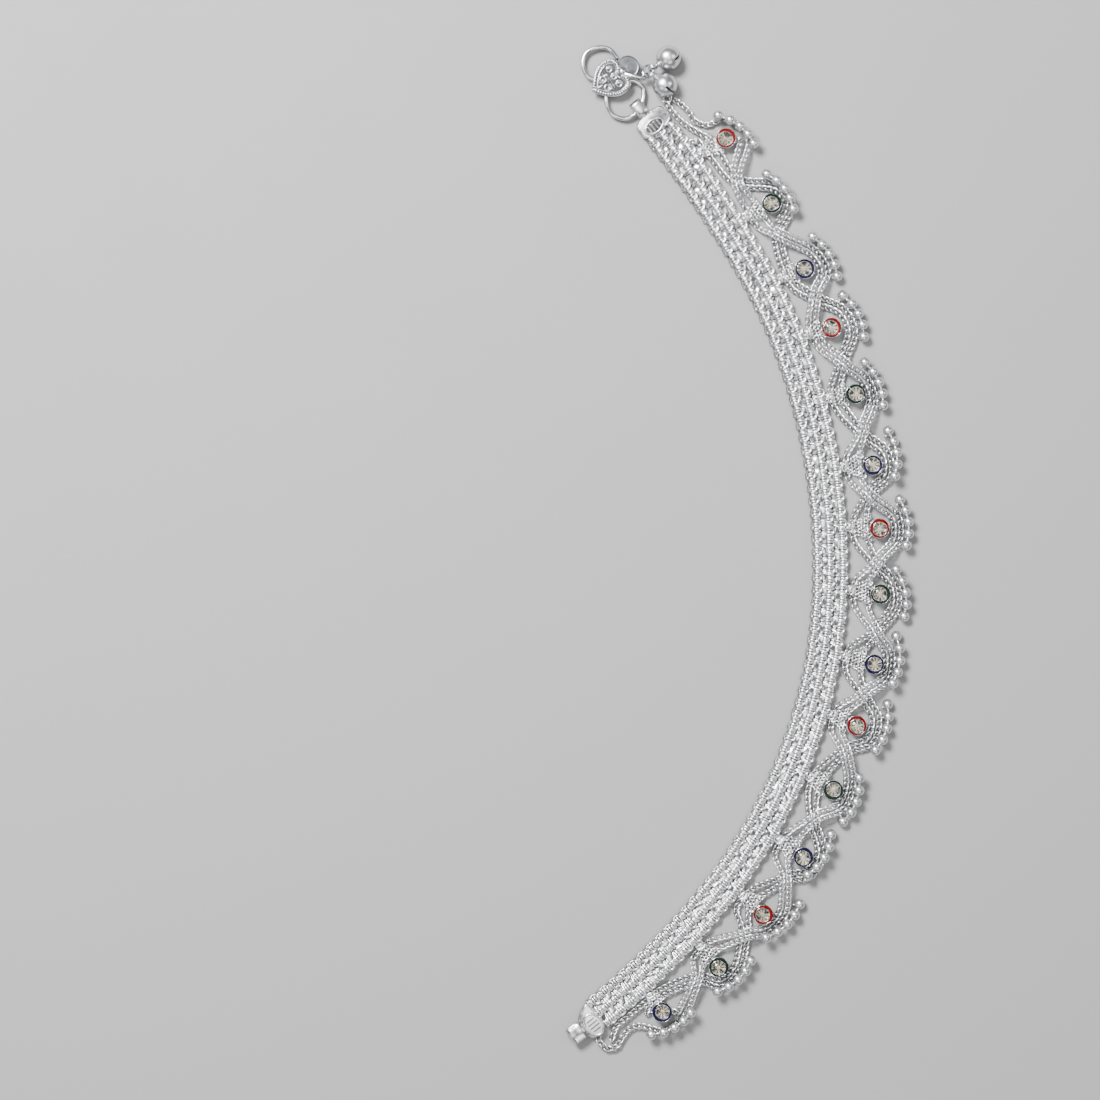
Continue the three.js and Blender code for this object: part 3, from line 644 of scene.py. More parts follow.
TAB_WIRE = 0.23
FAN_RING, FAN_WIRE, FAN_STEP, FAN_TOP = 0.43, 0.17, 0.75, 1.5


def resting_ring(at, out):
    """Height of a small ring lying on the strands here."""
    heights = strands_near(on_band(at, out), STRAND_R + 0.2)[1]
    return heights.max() + STRAND_R if len(heights) else 0.9


def solder_tabs():
    """Small links that hold the lace to the band beside each stone, and a fan of rings towards its cup."""
    link = tube(smooth_path([(0, -1, 0), (0.4, -0.6, 0.1), (0.4, 0.6, 0.1), (0, 1, 0), (-0.4, 0.6, 0.1),
                             (-0.4, -0.6, 0.1)], 4, closed=True), TAB_WIRE, 7, closed=True)
    body = Body()
    for p in PASSING:
        at = p["at"] - 0.03 * STONE_PITCH
        reach = p["inner"][0]
        middle, long = (EDGE + reach) / 2, max(1.0, (reach - EDGE) / 1.6)
        for shift, up in ((-0.62, 0.95), (0.3, 1.0)):
            turn = band_axes(at) @ np.diag([1, long, 1])
            body.stamp(link, [turn], [on_band(at + shift, middle, up)])
        across = band_axes(at) @ np.array([[0.3, -0.95, 0], [0.95, 0.3, 0], [0, 0, 1]])
        body.stamp(link, [across], [on_band(at - 0.1, middle + 0.15, 1.35)])
        near, far = EDGE + FAN_STEP, p["out"] - FOOT_R
        for row in range(max(2, round((far - near) / FAN_STEP))):
            out = near + row * FAN_STEP
            spread = 0.5 + 0.34 * row
            for k in range(2 + row):
                shift = (k / (1 + row) - 0.5) * 2 * spread
                tip = np.array([random.uniform(-0.5, 0.5), random.uniform(-0.5, 0.5), 1])
                place = on_band(at + shift + random.uniform(-0.1, 0.1), out + random.uniform(-0.1, 0.1),
                                min(FAN_TOP, resting_ring(at + shift, out)))
                body.add(*ring(FAN_RING, FAN_WIRE, place, band_axes(at) @ tip, 12, 6))
    return body.make("solder_tabs", CHAIN, node="woven_band")


solder_tabs()


# The chain strands
CHAIN_PITCH = 1.3
CHAIN_WIRE = 0.215
CHAIN_HALF = 0.59
CHAIN_LIFT = 0.08
TIE_HALF = 0.55
JOINING_R, JOINING_WIRE = 0.95, 0.24
TWIST = 0.8                                   # half the turn from end to end of a link, in radians
ROLL = (8, 24)                                # degrees by which a link lies over


def curb_link(half, wide, sides, bulge=0.0):
    """An oval link, turned from end to end so that it lies square to the next."""
    a = turns(14)
    w, roll = wide * np.sin(a) * (1 + bulge * np.cos(a) ** 2), TWIST * np.cos(a)
    path = np.stack([half * np.cos(a), w * np.cos(roll), w * np.sin(roll)], axis=1)
    return tube(path, CHAIN_WIRE, sides, closed=True)


def arc_lengths(path):
    return np.concatenate([[0], np.cumsum(np.linalg.norm(np.diff(path, axis=0), axis=1))])


def at_stops(path, lengths, stops):
    return np.stack([np.interp(stops, lengths, column) for column in path.T], axis=1)


def resampled(path, pitch):
    """Middles and courses of links set evenly along a path."""
    lengths = arc_lengths(path)
    count = max(2, round(lengths[-1] / pitch))
    stops = (np.arange(count) + 0.5) * lengths[-1] / count
    course = at_stops(path, lengths, stops + 0.3) - at_stops(path, lengths, stops - 0.3)
    return at_stops(path, lengths, stops), unit_rows(course)


def chain(name, path, node):
    link = curb_link(CHAIN_PITCH / 2 + 1.9 * CHAIN_WIRE, CHAIN_HALF, 6, 0.12)
    middles, courses = resampled(path + [0, 0, CHAIN_LIFT], CHAIN_PITCH)
    axes = []
    for course in courses:
        side = unit(np.cross([0, 0, 1], course))
        up = np.cross(course, side)
        angle = math.radians(random.uniform(*ROLL))
        one = math.cos(angle) * side + math.sin(angle) * up
        axes.append(np.stack([course, one, np.cross(course, one)], axis=1))
    return Body().stamp(link, axes, middles).make(name, CHAIN, node=node)


def joining_link():
    """The link below the second bell that gathers the two strands leading to the lace."""
    one, two = STRANDS[0][0], STRANDS[2][0]
    middle = (one + two) / 2 + [-0.1, 0.25, 0.35]
    across = unit(two - one)
    body = Body().add(*ring(JOINING_R, JOINING_WIRE, middle, unit([*across[:2] * 0.2, 1])))
    return body.make("joining_link", CHAIN, node="lace_strand_1")


def end_links():
    """Links that tie the ends of the strands to a cup, the band or a cap."""
    first, last = PASSING[0], PASSING[-1]
    ties = ((STRANDS[1][0], on_band(first["at"] + 1.0, first["out"] + 0.4, STRAND_Z)),
            (STRANDS[3][0], on_band(first["at"] - 4.2, EDGE - 0.3, 1.1)),
            (STRANDS[1][-1], on_band(last["at"] - 1.0, last["out"] + 0.2, STRAND_Z)),
            (STRANDS[2][-1], on_band(last["at"] - 0.8, last["out"] - 0.8, STRAND_Z)),
            (STRANDS[0][-1], on_band(TAIL_START + 0.3 * BAND_WIDTH, 0.46 * BAND_WIDTH, 1.0)),
            (STRANDS[3][-1], STRANDS[0][np.argmin(np.linalg.norm(STRANDS[0] - STRANDS[3][-1], axis=1))]))
    body = Body()
    for start, stop in ties:
        span = np.linalg.norm(stop - start)
        course = (stop - start) / span
        side = unit(np.cross([0, 0, 1], course))
        count = max(1, round(span / CHAIN_PITCH))
        link = curb_link(span / count / 2 + 1.6 * CHAIN_WIRE, TIE_HALF, 7)
        axes = np.stack([course, side, np.cross(course, side)], axis=1)
        body.stamp(link, [axes] * count, [start + (k + 0.5) / count * (stop - start) for k in range(count)])
    return body.make("end_links", CHAIN, node="lace_strand_2")


joining_link()
end_links()
for _i, _path in enumerate(STRANDS):
    chain(f"lace_chain_{_i + 1}", _path, f"lace_strand_{_i + 1}")


# Rows of balls, their links and the short stems that carry them
BALL_STEP = 0.15 * STONE_PITCH
ROW_CURVE = 0.8 / STONE_PITCH
BALL_LOOP, BALL_LOOP_WIRE, BALL_LINK = 0.42, 0.16, 0.3


def ball_row(index):
    p = PASSING[index]
    _, _, shift, _, slope, _, _ = STONES[index]
    body, middles = Body(), []
    for k in range(5):
        u = (k - 2) * BALL_STEP
        place = on_band(p["at"] + shift * STONE_PITCH + u, p["top"] + slope * u - ROW_CURVE * u * u)
        place[2] = resting_height(place)
        middles.append(place)
    for k, middle in enumerate(middles):
        body.add(*ball(BALL_R, middle, axis=(0.3, 0.2, 1)))
        nearest = STRAND_SAMPLES[np.argmin(np.linalg.norm(STRAND_SAMPLES - middle, axis=1))]
        toward = unit(nearest - middle)
        side = unit(np.cross(toward, [0, 0, 1]))
        loop_at = middle + toward * (BALL_R + 0.1)
        body.add(*ring(BALL_LOOP, BALL_LOOP_WIRE, loop_at, side, around=14, sides=6))
        if k < 4:
            body.add(*tube(np.linspace(middle, middles[k + 1], 3), BALL_LINK, 7))
    return body.make(f"ball_row_{index + 1:02d}", POLISHED, node=f"bead_row_{index + 1:02d}")


STONE_R = STONE_D / 2
STONE_LEAN = 0.17
STONE_SIDE = (225, 190, 140, 170, 0, 95, -50, 165, 20, -60, 60, 240, 190, 260, 60)      # degrees
STONE_TURN = 0.35
RIM_WIDE = 0.08
ENAMEL_TURNS = 40
PETALS = 10
PETAL = 2 * math.pi / PETALS


def stone_shift(index):
    a = math.radians(STONE_SIDE[index])
    return np.array([STONE_LEAN * math.cos(a), STONE_LEAN * math.sin(a), 0.0])


def spot(radius, angle, z):
    return radius * math.cos(angle), radius * math.sin(angle), z


def setting(index):
    """A footed cup, a ring of enamel and a well lined with foil: bright petals with folds of painted shade
    between.
    """
    p = PASSING[index]
    centre = on_band(p["at"], p["out"])
    body = Body()
    rim, inner = CUP_R - RIM_WIDE, STONE_R
    shell = [(0.001, 0), (FOOT_R - 0.15, 0), (FOOT_R, 0.15), (FOOT_R, FOOT_H - 0.2),
             (FOOT_R + 0.25, FOOT_H + 0.02), (CUP_R - 0.15, FOOT_H + 0.08), (CUP_R, FOOT_H + 0.3),
             (CUP_R, RIM_TOP - 0.07), (CUP_R - 0.05, RIM_TOP + 0.01), (rim, RIM_TOP),
             (rim - 0.02, RIM_TOP - 0.12)]
    body.add(*lathe(shell, ENAMEL_TURNS, centre))
    # the inner edge of the enamel goes with the stone, a little to one side
    glaze = [(rim - 0.01, RIM_TOP - 0.11), (rim - 0.05, RIM_TOP - 0.03), (rim - 0.13, RIM_TOP + 0.02),
             (inner + 0.13, RIM_TOP + 0.02), (inner + 0.06, RIM_TOP - 0.08)]
    glazed, around = lathe(glaze, ENAMEL_TURNS)
    points = glazed.reshape(len(glaze), ENAMEL_TURNS, 3)
    points[3:] += stone_shift(index)
    body.add(points.reshape(-1, 3) + centre, around, slot=1)
    centre = centre + stone_shift(index)
    well = [(inner + 0.07, RIM_TOP - 0.1), (inner + 0.04, RIM_TOP - 0.03), (inner, RIM_TOP - 0.06),
            (inner, WELL_FLOOR + 0.1), (0.001, WELL_FLOOR)]
    body.add(*lathe(well, ENAMEL_TURNS, centre))
    low, high = WELL_FLOOR + 0.25, RIM_TOP - 0.32
    outer, hub = inner - 0.02, 0.16 * inner
    painted_shade_petals = random.sample(range(PETALS), 2)
    for k in range(PETALS):
        a0 = k * PETAL + STONE_TURN * index
        a1, a2 = a0 + 0.62 * PETAL, a0 + PETAL
        lift, drop = random.uniform(0, 0.16), random.uniform(-0.35, 0.1)
        petal = [spot(hub, (a0 + a1) / 2, low + lift), spot(outer, a0, high), spot(outer, a1, high + drop)]
        fold = [(0, 0, low), spot(outer, a1, high - 0.12), spot(outer, a2, high - 0.12)]
        # the folds and two random petals are painted with shade; the other petals show the foil
        for corners, slot in ((petal, 3 if k in painted_shade_petals else 2), (fold, 3)):
            body.add(np.array(corners) + centre, [np.array([[0, 1, 2]])], slot)
    body.add(*ball(0.3 * inner, centre + [0, 0, low], 10, 6), slot=2)
    name, coat = ENAMELS[index % 3]
    piece = body.make(f"cup_{index + 1:02d}", [BRIGHT, coat, FOIL, PAINTED_SHADE], name,
                      node=f"setting_{index + 1:02d}")
    for polygon in piece.data.polygons:
        if polygon.material_index in (2, 3):
            polygon.use_smooth = False
    return piece


def cut_stone(index):
    """Table, eight stars, eight kites and sixteen halves over a girdle, and a faceted back."""
    p = PASSING[index]
    radius = STONE_R - 0.02
    girdle, table, back = RIM_TOP - 0.1, RIM_TOP + 0.45, WELL_FLOOR + 0.2
    rows = [(0.54 * radius, 8, 0.5, table), (0.8 * radius, 8, 0.0, girdle + 0.34),
            (radius, 16, 0.0, girdle), (radius, 16, 0.0, girdle - 0.07), (0.45 * radius, 8, 0.0, back + 0.2)]
    points = [spot(r, (k + phase) * 2 * math.pi / n + STONE_TURN * index, z)
              for r, n, phase, z in rows for k in range(n)] + [(0, 0, back)]
    tris = []
    for k in range(8):
        j = (k + 1) % 8
        t0, t1, m0, m1 = k, j, 8 + k, 8 + j
        g0, g1, g2 = 16 + 2 * k, 16 + (2 * k + 1) % 16, 16 + (2 * k + 2) % 16
        tris += [(m0, m1, t0), (t0, m1, t1)]
        tris += [(m0, g0, g1), (m0, g1, m1), (m1, g1, g2)]
        b0, b1, b2, c0, c1 = g0 + 16, g1 + 16, g2 + 16, 48 + k, 48 + j
        tris += [(g0, b0, b1), (g0, b1, g1), (g1, b1, b2), (g1, b2, g2)]
        tris += [(b0, c0, b1), (b1, c0, c1), (b1, c1, b2), (c0, 56, c1)]
    body = Body()
    place = on_band(p["at"], p["out"]) + stone_shift(index)
    body.add(np.array(points) + place, [np.array(tris), np.arange(8)[None, :]])
    return body.make(f"cut_stone_{index + 1:02d}", CRYSTAL, "crystal", smooth=False,
                     node=f"stone_{index + 1:02d}")


for _i in range(len(STONES)):
    ball_row(_i)
    setting(_i)
    cut_stone(_i)


# Caps at the ends of the band
LOOP_LONG = 0.52 * BAND_WIDTH
LOOP_WIDE = 0.33 * BAND_WIDTH
LOOP_WALL = 0.5
LOOP_HIGH = HOOK_WIRE + 2 * GAP + 2 * LOOP_WALL + 0.2
CLASP_LOOP_OUT = -0.06 * BAND_WIDTH
CLASP_LOOP_TIP = -0.7 * BAND_WIDTH
CAP_THICK = 0.9 * BAND_THICK


def strip_loop(at, out, wide, direction, rim=0.0):
    """A strip bent round into a loop, open across the band, with beads along its edges if a rim is given."""
    mid = LOOP_WALL / 2
    long, high = LOOP_LONG - 0.2, LOOP_HIGH
    line = [(mid, 0.9), (mid + 0.05, high - 0.75), (mid + 0.45, high - mid - 0.06), (1.3, high - mid),
            (long - 0.7, high - mid), (long - mid, high - 0.8), (long - mid, 0.8), (long - 0.7, mid),
            (1.3, mid), (mid + 0.4, mid + 0.1)]
    path = smooth_path([(direction * x, 0, z) for x, z in line], 4, closed=True)
    half = wide / 2
    corner = []
    for sx, sy in ((-1, -1), (1, -1), (1, 1), (-1, 1)):
        pts = [(sx * half, sy * (mid - 0.12)), (sx * (half - 0.12), sy * mid)]
        corner += pts if sx * sy > 0 else pts[::-1]
    across = np.array([0, 1.0, 0])
    rings = [point + np.array([x * across + y * np.cross(tangent, across) for x, y in corner])
             for point, tangent in zip(path, tangents_of(path, True))]
    piece = np.concatenate(rings), [grid_faces(len(path), len(corner), wrap_rows=True)]
    if rim:
        beads = [tube(path * [0.98, 1, 0.97] + [0, s * (half - 0.6 * rim), 0.04], rim, 8, closed=True,
                      up=(0, 1, 0)) for s in (-1, 1)]
        piece = join(piece, *beads)
    return moved(piece, band_axes(at), on_band(at, out))


def plaque(body, rx, ry, centre, axes, place, turn, light=False):
    """An oval with a raised rim: a sunk dark field with flutes, or a light one with fine cut lines."""
    seat = np.array([*centre, 0.0])
    top = 1.25 * BAND_THICK

    def put(piece, slot=0):
        body.add(*moved(moved(piece, place=seat), axes, place), slot)

    put(slab(oval(rx, ry), 0.3, top - 0.3, 0.2))
    put(slab(oval(rx - 0.45, ry - 0.45), top - 0.5, top - 0.27, 0.02), 2 if light else 1)
    put(level_wire(oval(rx - 0.3, ry - 0.3), top - 0.26, 0.26, flat=0.5 if light else 1.0))
    c, s = math.cos(turn), math.sin(turn)
    swing = np.array([[c, s, 0], [-s, c, 0], [0, 0, 1]])
    across, along = (rx, ry) if turn == 0 else (ry, rx)
    for k in (-1.5, -0.5, 0.5, 1.5):
        x = k * 0.42 * (across - 0.5)
        half = (along - 0.75) * math.sqrt(max(0.0, 1 - (x / (across - 0.5)) ** 2))
        bar = np.array([(x, -half, 0), (x, 0, 0.05), (x, half, 0)]) @ swing + [0, 0, top - 0.24]
        if light:
            put(tube(smooth_path(bar * [0.85, 0.85, 1], 4), 0.13, 6), 1)
        else:
            put(tube(smooth_path(bar, 4), 0.2, 8))


def cap(outline, bevel, axes, place):
    """A cast cap with a raised line just inside its edge."""
    body = Body().add(*moved(slab(outline, 0, CAP_THICK, bevel, 0.2), axes, place))
    return body.add(*moved(level_wire(inset(outline, 0.42), CAP_THICK - 0.05, 0.2), axes, place))


def clasp_cap():
    w = BAND_WIDTH
    outline = rounded([(CAP_END, -0.49 * w), (CAP_END, 0.5 * w), (-0.1 * w, 0.5 * w), (-0.2 * w, 0.38 * w),
                       (-0.25 * w, 0), (-0.19 * w, -0.33 * w), (-0.06 * w, -0.49 * w)])
    axes, place = band_axes(0), on_band(0, 0)
    body = cap(outline, 0.5, axes, place)
    plaque(body, 0.21 * w, 0.315 * w, (0.185 * w, -0.045 * w), axes, place, math.radians(90))
    body.add(*strip_loop(CLASP_LOOP_TIP, CLASP_LOOP_OUT, LOOP_WIDE, 1))
    return body.make("clasp_end", [CAST, SUNK], node="clasp_cap")


def end_cap():
    w = BAND_WIDTH
    outline = rounded([(0, -0.46 * w), (0.33 * w, -0.36 * w), (0.6 * w, -0.19 * w), (0.62 * w, 0.36 * w),
                       (0.5 * w, 0.5 * w), (0, 0.5 * w)])
    axes, place = band_axes(TAIL_START), on_band(TAIL_START, 0)
    body = cap(outline, 0.4, axes, place)
    plaque(body, 0.27 * w, 0.35 * w, (0.28 * w, 0.17 * w), axes, place, math.radians(90), light=True)
    at = TAIL_START + 0.6 * w + LOOP_LONG - 0.1 * w
    body.add(*strip_loop(at, 0.08 * w, 0.45 * w, -1, 0.3))
    return body.make("eye_end", [CAST, SUNK, FROST], node="end_cap")


clasp_cap()
end_cap()


# The hook with its heart plate, disc and lug
HOOK_Z = LOOP_HIGH / 2
HOOK_AT = on_band(CLASP_LOOP_TIP + 0.235 * BAND_WIDTH, CLASP_LOOP_OUT, HOOK_Z)
HOOK_PATH = (
    (-0.57, 1.32), (-0.78, 1.585), (-1.06, 1.64), (-1.395, 1.505), (-1.505, 1.2), (-1.385, 0.88),
    (-1.08, 0.745), (-0.73, 0.735), (-0.38, 0.755), (-0.09, 0.73), (0.085, 0.585), (0.125, 0.37),
    (0.08, 0.15), (0, 0), (-0.12, -0.165), (-0.395, -0.27), (-0.715, -0.15), (-0.87, 0.145), (-0.87, 0.395),
)
HEART = {"x": -0.8, "y": 0.725, "size": 1.04, "turn": -56}
HEART_RIBS = 46
RIB_WIRE, RELIEF_WIRE, ARM_WIRE = 0.19, 0.18, 0.42
DISC = {"x": -0.307, "y": 1.093, "radius": 0.307}
DISC_GROOVE = 0.11
DOME = {"x": -0.45, "y": 0.97, "radius": 0.12}
LUG = {"x": 0.156, "y": 0.833, "up": 0.16}
RING_R = 0.24 * BELL_D
RING_WIRE = 0.3
RING_TILT = 35
RING_LOOP = 0.9
RING_LOOP_WIRE = 0.2
LUG_ANGLE = -126
PLATE_LOW = HOOK_Z + 0.35 * HOOK_WIRE
PLATE_TOP = PLATE_LOW + 1.3


def on_hook(x, y, up=0.0):
    return HOOK_AT + [x * HOOK_EYE, y * HOOK_EYE, up]


def on_ring(centre, angle, radius):
    a, tilt = math.radians(angle), math.radians(RING_TILT)
    return np.asarray(centre) + radius * np.array([math.cos(a) * math.cos(tilt), math.sin(a),
                                                   math.cos(a) * math.sin(tilt)])


LUG_AT = on_hook(LUG["x"], LUG["y"], LUG["up"] * HOOK_EYE)
RING_AT = 2 * LUG_AT - on_ring(LUG_AT, LUG_ANGLE, RING_R)


def ring_tangent(angle):
    return unit(on_ring(RING_AT, angle + 90, 1) - RING_AT)


def bezier(p0, p1, p2, p3, n):
    t = np.arange(n)[:, None] / n
    return (1 - t) ** 3 * p0 + 3 * (1 - t) ** 2 * t * p1 + 3 * (1 - t) * t * t * p2 + t ** 3 * p3


def heart_outline(size, n=16):
    right = [((0, 0.34), (0.1, 0.5), (0.48, 0.56), (0.5, 0.16)),
             ((0.5, 0.16), (0.5, -0.16), (0.22, -0.36), (0, -0.52))]
    half = np.concatenate([bezier(*np.array(segment), n) for segment in right])
    outline = np.concatenate([half, [[0, -0.52]], (half * [-1, 1])[:0:-1]])
    return outline[::-1] * size


def scroll(centre, size, turn, hand=1):
    """A small spiral that curls in on itself."""
    a, t = np.linspace(-0.15, 2.7, 26) * math.pi, np.linspace(0, 1, 26)
    r = size * (1.0 - 0.3 * t - 0.42 * t ** 2)
    x, y = r * np.cos(a) * hand, r * np.sin(a)
    c, s = math.cos(turn), math.sin(turn)
    return np.column_stack([centre[0] + c * x - s * y, centre[1] + s * x + c * y, np.zeros(26)])


def heart_hook():
    body = Body()
    wire = smooth_path([on_hook(x, y) for x, y in HOOK_PATH], 6)
    body.add(*tube(wire, HOOK_WIRE / 2, 12))
    size = HEART["size"] * HOOK_EYE
    outline = heart_outline(size)
    c, s = math.cos(math.radians(HEART["turn"])), math.sin(math.radians(HEART["turn"]))
    axes = np.array([[c, -s, 0], [s, c, 0], [0, 0, 1]])
    place = on_hook(HEART["x"], HEART["y"]) * [1, 1, 0]
    face = PLATE_TOP - 0.3
    plate, (around, under, field) = moved(slab(outline, PLATE_LOW, face, 0.25, 0.15), axes, place)
    body.add(plate, [around, under])
    body.add(plate, [field], slot=1)
    # the milled border: short ribs set square to the edge round a sunk field
    closed = np.vstack([outline, outline[:1]])
    lengths = arc_lengths(closed)
    stops = (np.arange(HEART_RIBS) + 0.5) * lengths[-1] / HEART_RIBS
    ahead = at_stops(closed, lengths, (stops + 0.2) % lengths[-1])
    for p, q in zip(at_stops(closed, lengths, stops), ahead):
        t = unit(q - p)
        inward = np.array([-t[1], t[0]])
        rib = [(*(p + inward * 0.12), face - 0.2), (*(p + inward * 0.3), face + 0.08),
               (*(p + inward * 0.75), face + 0.1), (*(p + inward * 1.0), face - 0.1)]
        body.add(*moved(tube(smooth_path(rib, 3), RIB_WIRE, 7), axes, place))
    body.add(*moved(level_wire(inset(outline, 1.1), face, 0.12, 6), axes, place))
    bar = size * np.array([(-0.26, 0.02, 0), (0, 0.02, 0), (0.26, 0.02, 0)])
    relief = [bar, bar + [0, -0.055 * size, 0]]
    relief += [scroll((x * size, 0.165 * size), 0.088 * size, math.radians(90))
               for x in (-0.235, -0.01, 0.215)]
    relief += [scroll((-0.12 * size, -0.13 * size), 0.1 * size, math.radians(-90)),
               scroll((0.12 * size, -0.13 * size), 0.1 * size, math.radians(-90), -1)]
    relief += [size * np.array([(0, -0.2, 0), (0, -0.26, 0), (0, -0.34, 0)])]
    for path in relief:
        points = smooth_path(path + [0, 0, face + 0.06], 2)
        body.add(*moved(tube(points, RELIEF_WIRE, 8), axes, place))
    # the disc with its turned grooves and small dome, and the arm and lug that carry the bells
    at = on_hook(DISC["x"], DISC["y"]) * [1, 1, 0]
    r = DISC["radius"] * HOOK_EYE
    low = PLATE_LOW + 0.1
    turned = [(0.001, low), (r - 0.15, low), (r, low + 0.15), (r, low + 0.6), (r - 0.08, low + 0.7),
              (r - 0.2, low + 0.66)]
    turned += [(r - 0.3 - DISC_GROOVE * k, low + (0.6 if k % 2 else 0.63))
               for k in range(int((r - 0.5) / DISC_GROOVE))]
    turned += [(0.001, low + 0.6)]
    # the disc takes the darkened silver of painted reflection
    body.add(*lathe(turned, 48, at), slot=2)
    body.add(*ball(DOME["radius"] * HOOK_EYE, on_hook(DOME["x"], DOME["y"], 0.11 * HOOK_EYE)))
    arm_from = on_hook(-0.5, 0.93, 0.1 * HOOK_EYE)
    tangent = ring_tangent(LUG_ANGLE)
    to_lug = arm_from - LUG_AT
    to_lug = unit(to_lug - tangent * (to_lug @ tangent)) * RING_LOOP
    arm = smooth_path([arm_from, (arm_from + LUG_AT + to_lug) / 2 + [0, 0, 0.15], LUG_AT + to_lug], 6)
    body.add(*tube(arm, ARM_WIRE, 12, flat=0.55, taper=np.linspace(1.9, 0.75, len(arm))))
    body.add(*ring(RING_LOOP, RING_LOOP_WIRE + 0.05, LUG_AT, tangent))
    return body.make("heart_clasp", [BRIGHT, SUNK, SATIN_PAINTED_DARK], node="heart_hook")


heart_hook()


def jump_ring():
    tilt = math.radians(RING_TILT)
    body = Body().add(*ring(RING_R, RING_WIRE, RING_AT, (-math.sin(tilt), 0, math.cos(tilt)), 40, 12))
    return body.make("bell_ring", BRIGHT, node="jump_ring")


jump_ring()

# Bells: angle on the jump ring, place in bell radii from it, and the line square to the slit
BELLS = ((28, 1.65, 1.08, (-0.404, 0.762, 0.509)), (-31, 1.36, -1.09, (0.63, 0.758, 0.174)))
BELL_SIDES = 56
BELL_WALL, SLIT_HALF = 0.1, 0.09              # of the bell's radius
SLIT_REACH = 80                               # degrees to each side of the far end
BELL_STEM, BELL_LOOP_WIRE, COLLAR_WIRE = 0.3, 0.24, 0.2
COLLARS = ((0.99, 0.52), (1.1, 0.4))          # distance from the middle in radii, and radius


def bell(index):
    """A thin hollow ball with a slit across its far end, a collar and wire loops; its inner shell is painted
    with shade.
    """
    angle, x, y, slit = BELLS[index]
    r = BELL_D / 2
    centre = np.array([RING_AT[0] + x * r, RING_AT[1] + y * r, r])
    loop_at = on_ring(RING_AT, angle, RING_R + 0.15)
    away = unit(centre - loop_at)
    pole = unit(slit)
    front = unit(away * [1, 1, 0])
    front = unit(front - pole * (front @ pole))
    third = np.cross(pole, front)
    upper = np.linspace(math.asin(SLIT_HALF), math.pi / 2 - 0.01, 13)
    latitudes = np.concatenate([-upper[::-1], upper])
    around = BELL_SIDES
    longitudes = turns(around)
    points = [centre + shell * (math.cos(lat) * (math.cos(lon) * front + math.sin(lon) * third)
                                + math.sin(lat) * pole)
              for shell in (r, r * (1 - BELL_WALL)) for lat in latitudes for lon in longitudes]
    quads, hidden, rows = [], [], len(latitudes)
    seam = len(upper) - 1
    open_columns = {k for k in range(around)
                    if math.cos((k + 0.5) * 2 * math.pi / around) > math.cos(math.radians(SLIT_REACH))}
    inner = rows * around
    for j in range(rows - 1):
        for k in range(around):
            k2 = (k + 1) % around
            a, b, c2, d = j * around + k, j * around + k2, (j + 1) * around + k2, (j + 1) * around + k
            if j == seam and k in open_columns:
                quads += [(a, b, b + inner, a + inner), (c2, d, d + inner, c2 + inner)]
                if (k - 1) % around not in open_columns:
                    quads.append((d, a, a + inner, d + inner))
                if k2 not in open_columns:
                    quads.append((b, c2, c2 + inner, b + inner))
                continue
            quads.append((a, b, c2, d))
            hidden.append((a + inner, d + inner, c2 + inner, b + inner))
    caps = [np.arange(around), np.arange(around)[::-1] + (rows - 1) * around]
    body = Body().add(points, [np.array(quads), caps[0][::-1][None, :], caps[1][::-1][None, :]])
    # the inner shell is painted with shade
    body.add(points, [np.array(hidden)], slot=1)
    far = on_ring(RING_AT, angle, RING_R + 0.15 + RING_LOOP)
    body.add(*tube(np.linspace(far, centre - away * 0.86 * r, 4), BELL_STEM, 8))
    for turn in (-0.2, 0.2):
        body.add(*ring(RING_LOOP, BELL_LOOP_WIRE, loop_at + turn * ring_tangent(angle), ring_tangent(angle)))
    for lift, size in COLLARS:
        body.add(*ring(size, COLLAR_WIRE, centre - away * (lift * r), away, 20, 8))
    return body.make(f"jingle_{index + 1}", [BELL, PAINTED_SHADE], node=f"bell_{index + 1}")


for _i in range(len(BELLS)):
    bell(_i)


# Floor, light and camera
FLOOR_SIZE = 6
FLOOR_TONE = 0.36
WORLD_STRENGTH = 0.18


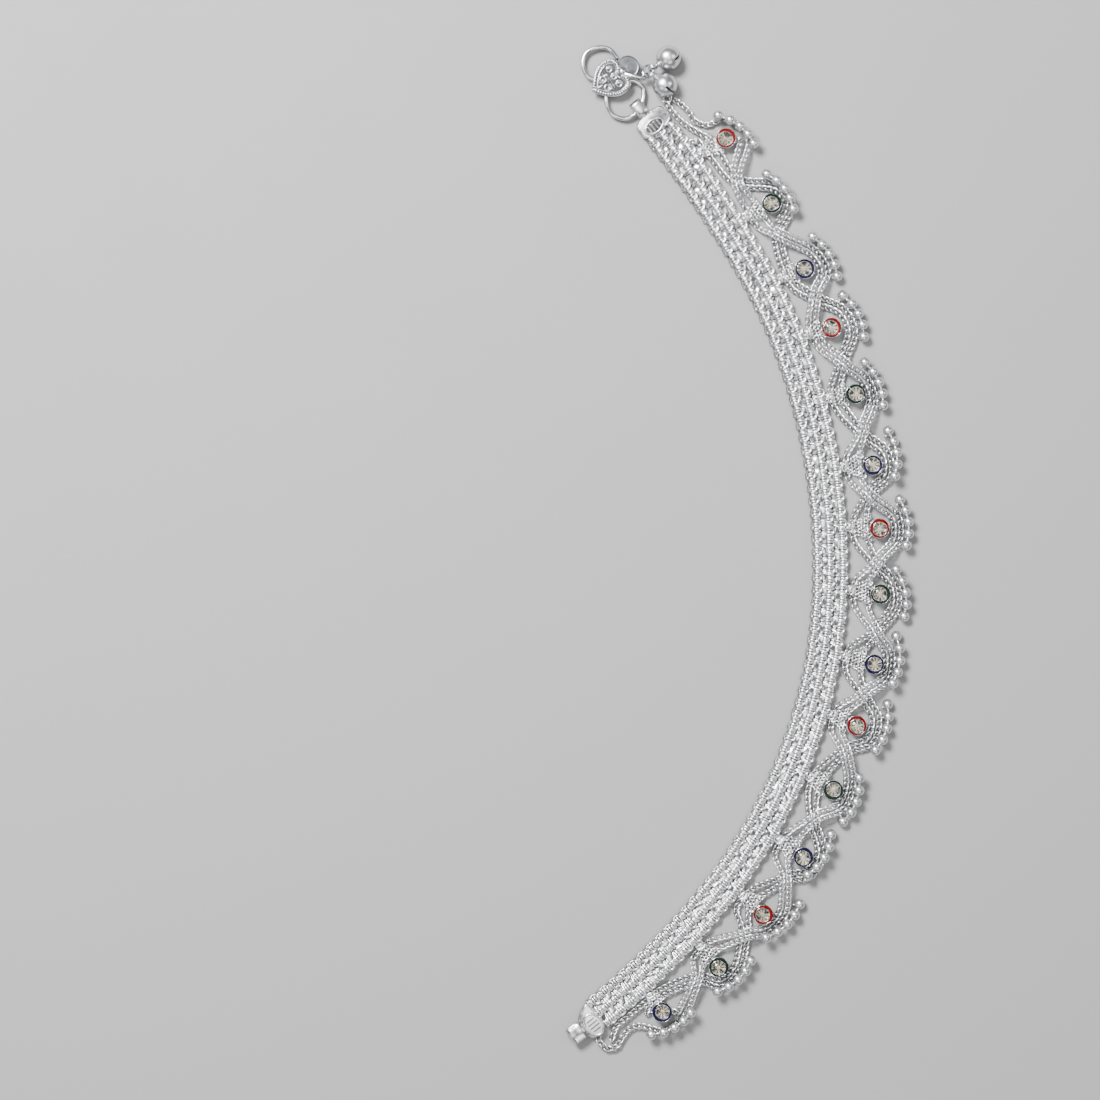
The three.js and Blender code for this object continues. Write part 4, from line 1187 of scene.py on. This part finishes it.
def stage():
    bpy.ops.mesh.primitive_plane_add(size=FLOOR_SIZE, location=(0, 0, -0.02 * MM))
    floor = bpy.context.object
    floor.name = "floor"
    m, tree, bsdf = node_material("pale_floor", [FLOOR_TONE] * 3, 0.7)
    wear(tree, bsdf, 30, 0.65, 0.75)
    floor.data.materials.append(m)
    world = bpy.data.worlds.new("studio")
    world.use_nodes = True
    sky = world.node_tree.nodes["Background"].inputs
    sky["Color"].default_value = (0.96, 0.98, 1, 1)
    sky["Strength"].default_value = WORLD_STRENGTH
    bpy.context.scene.world = world


def softbox(name, azimuth, from_top, size, power, distance=0.8):
    a, t = math.radians(azimuth), math.radians(from_top)
    light = bpy.data.lights.new(name, "AREA")
    light.shape = "RECTANGLE"
    light.size, light.size_y = size
    light.energy = power
    lamp = bpy.data.objects.new(name, light)
    lamp.location = (distance * math.sin(t) * math.cos(a), distance * math.sin(t) * math.sin(a),
                     distance * math.cos(t))
    lamp.rotation_euler = lamp.location.to_track_quat("Z", "Y").to_euler()
    bpy.context.collection.objects.link(lamp)


# Azimuth and angle from the top in degrees, size in metres, power in watts
LIGHTS = {
    "key": (130, 38, (0.3, 0.22), 16),
    "right": (20, 46, (0.3, 0.36), 1.2),
    "left": (220, 44, (0.26, 0.3), 0.8),
    "low": (285, 42, (0.4, 0.2), 1.0),
    "top": (0, 0, (0.5, 0.5), 2.8, 1.4),
}
stage()
for _name, _light in LIGHTS.items():
    softbox(_name, *_light)

# The photograph looks straight down on the surface; its middle is this far from the model's middle
VIEW_WIDTH = 255.75 * MM
VIEW_MIDDLE = (-44.1 * MM, -0.44 * MM)
LENS, SENSOR = 100, 36
distance = VIEW_WIDTH * LENS / SENSOR
data = bpy.data.cameras.new("camera")
data.type = "PERSP"
data.lens, data.sensor_width, data.sensor_fit = LENS, SENSOR, "HORIZONTAL"
data.clip_start, data.clip_end = 0.01, 20
camera = bpy.data.objects.new("camera", data)
camera.location = (*VIEW_MIDDLE, distance + 1.5 * MM)
bpy.context.collection.objects.link(camera)
bpy.context.scene.camera = camera
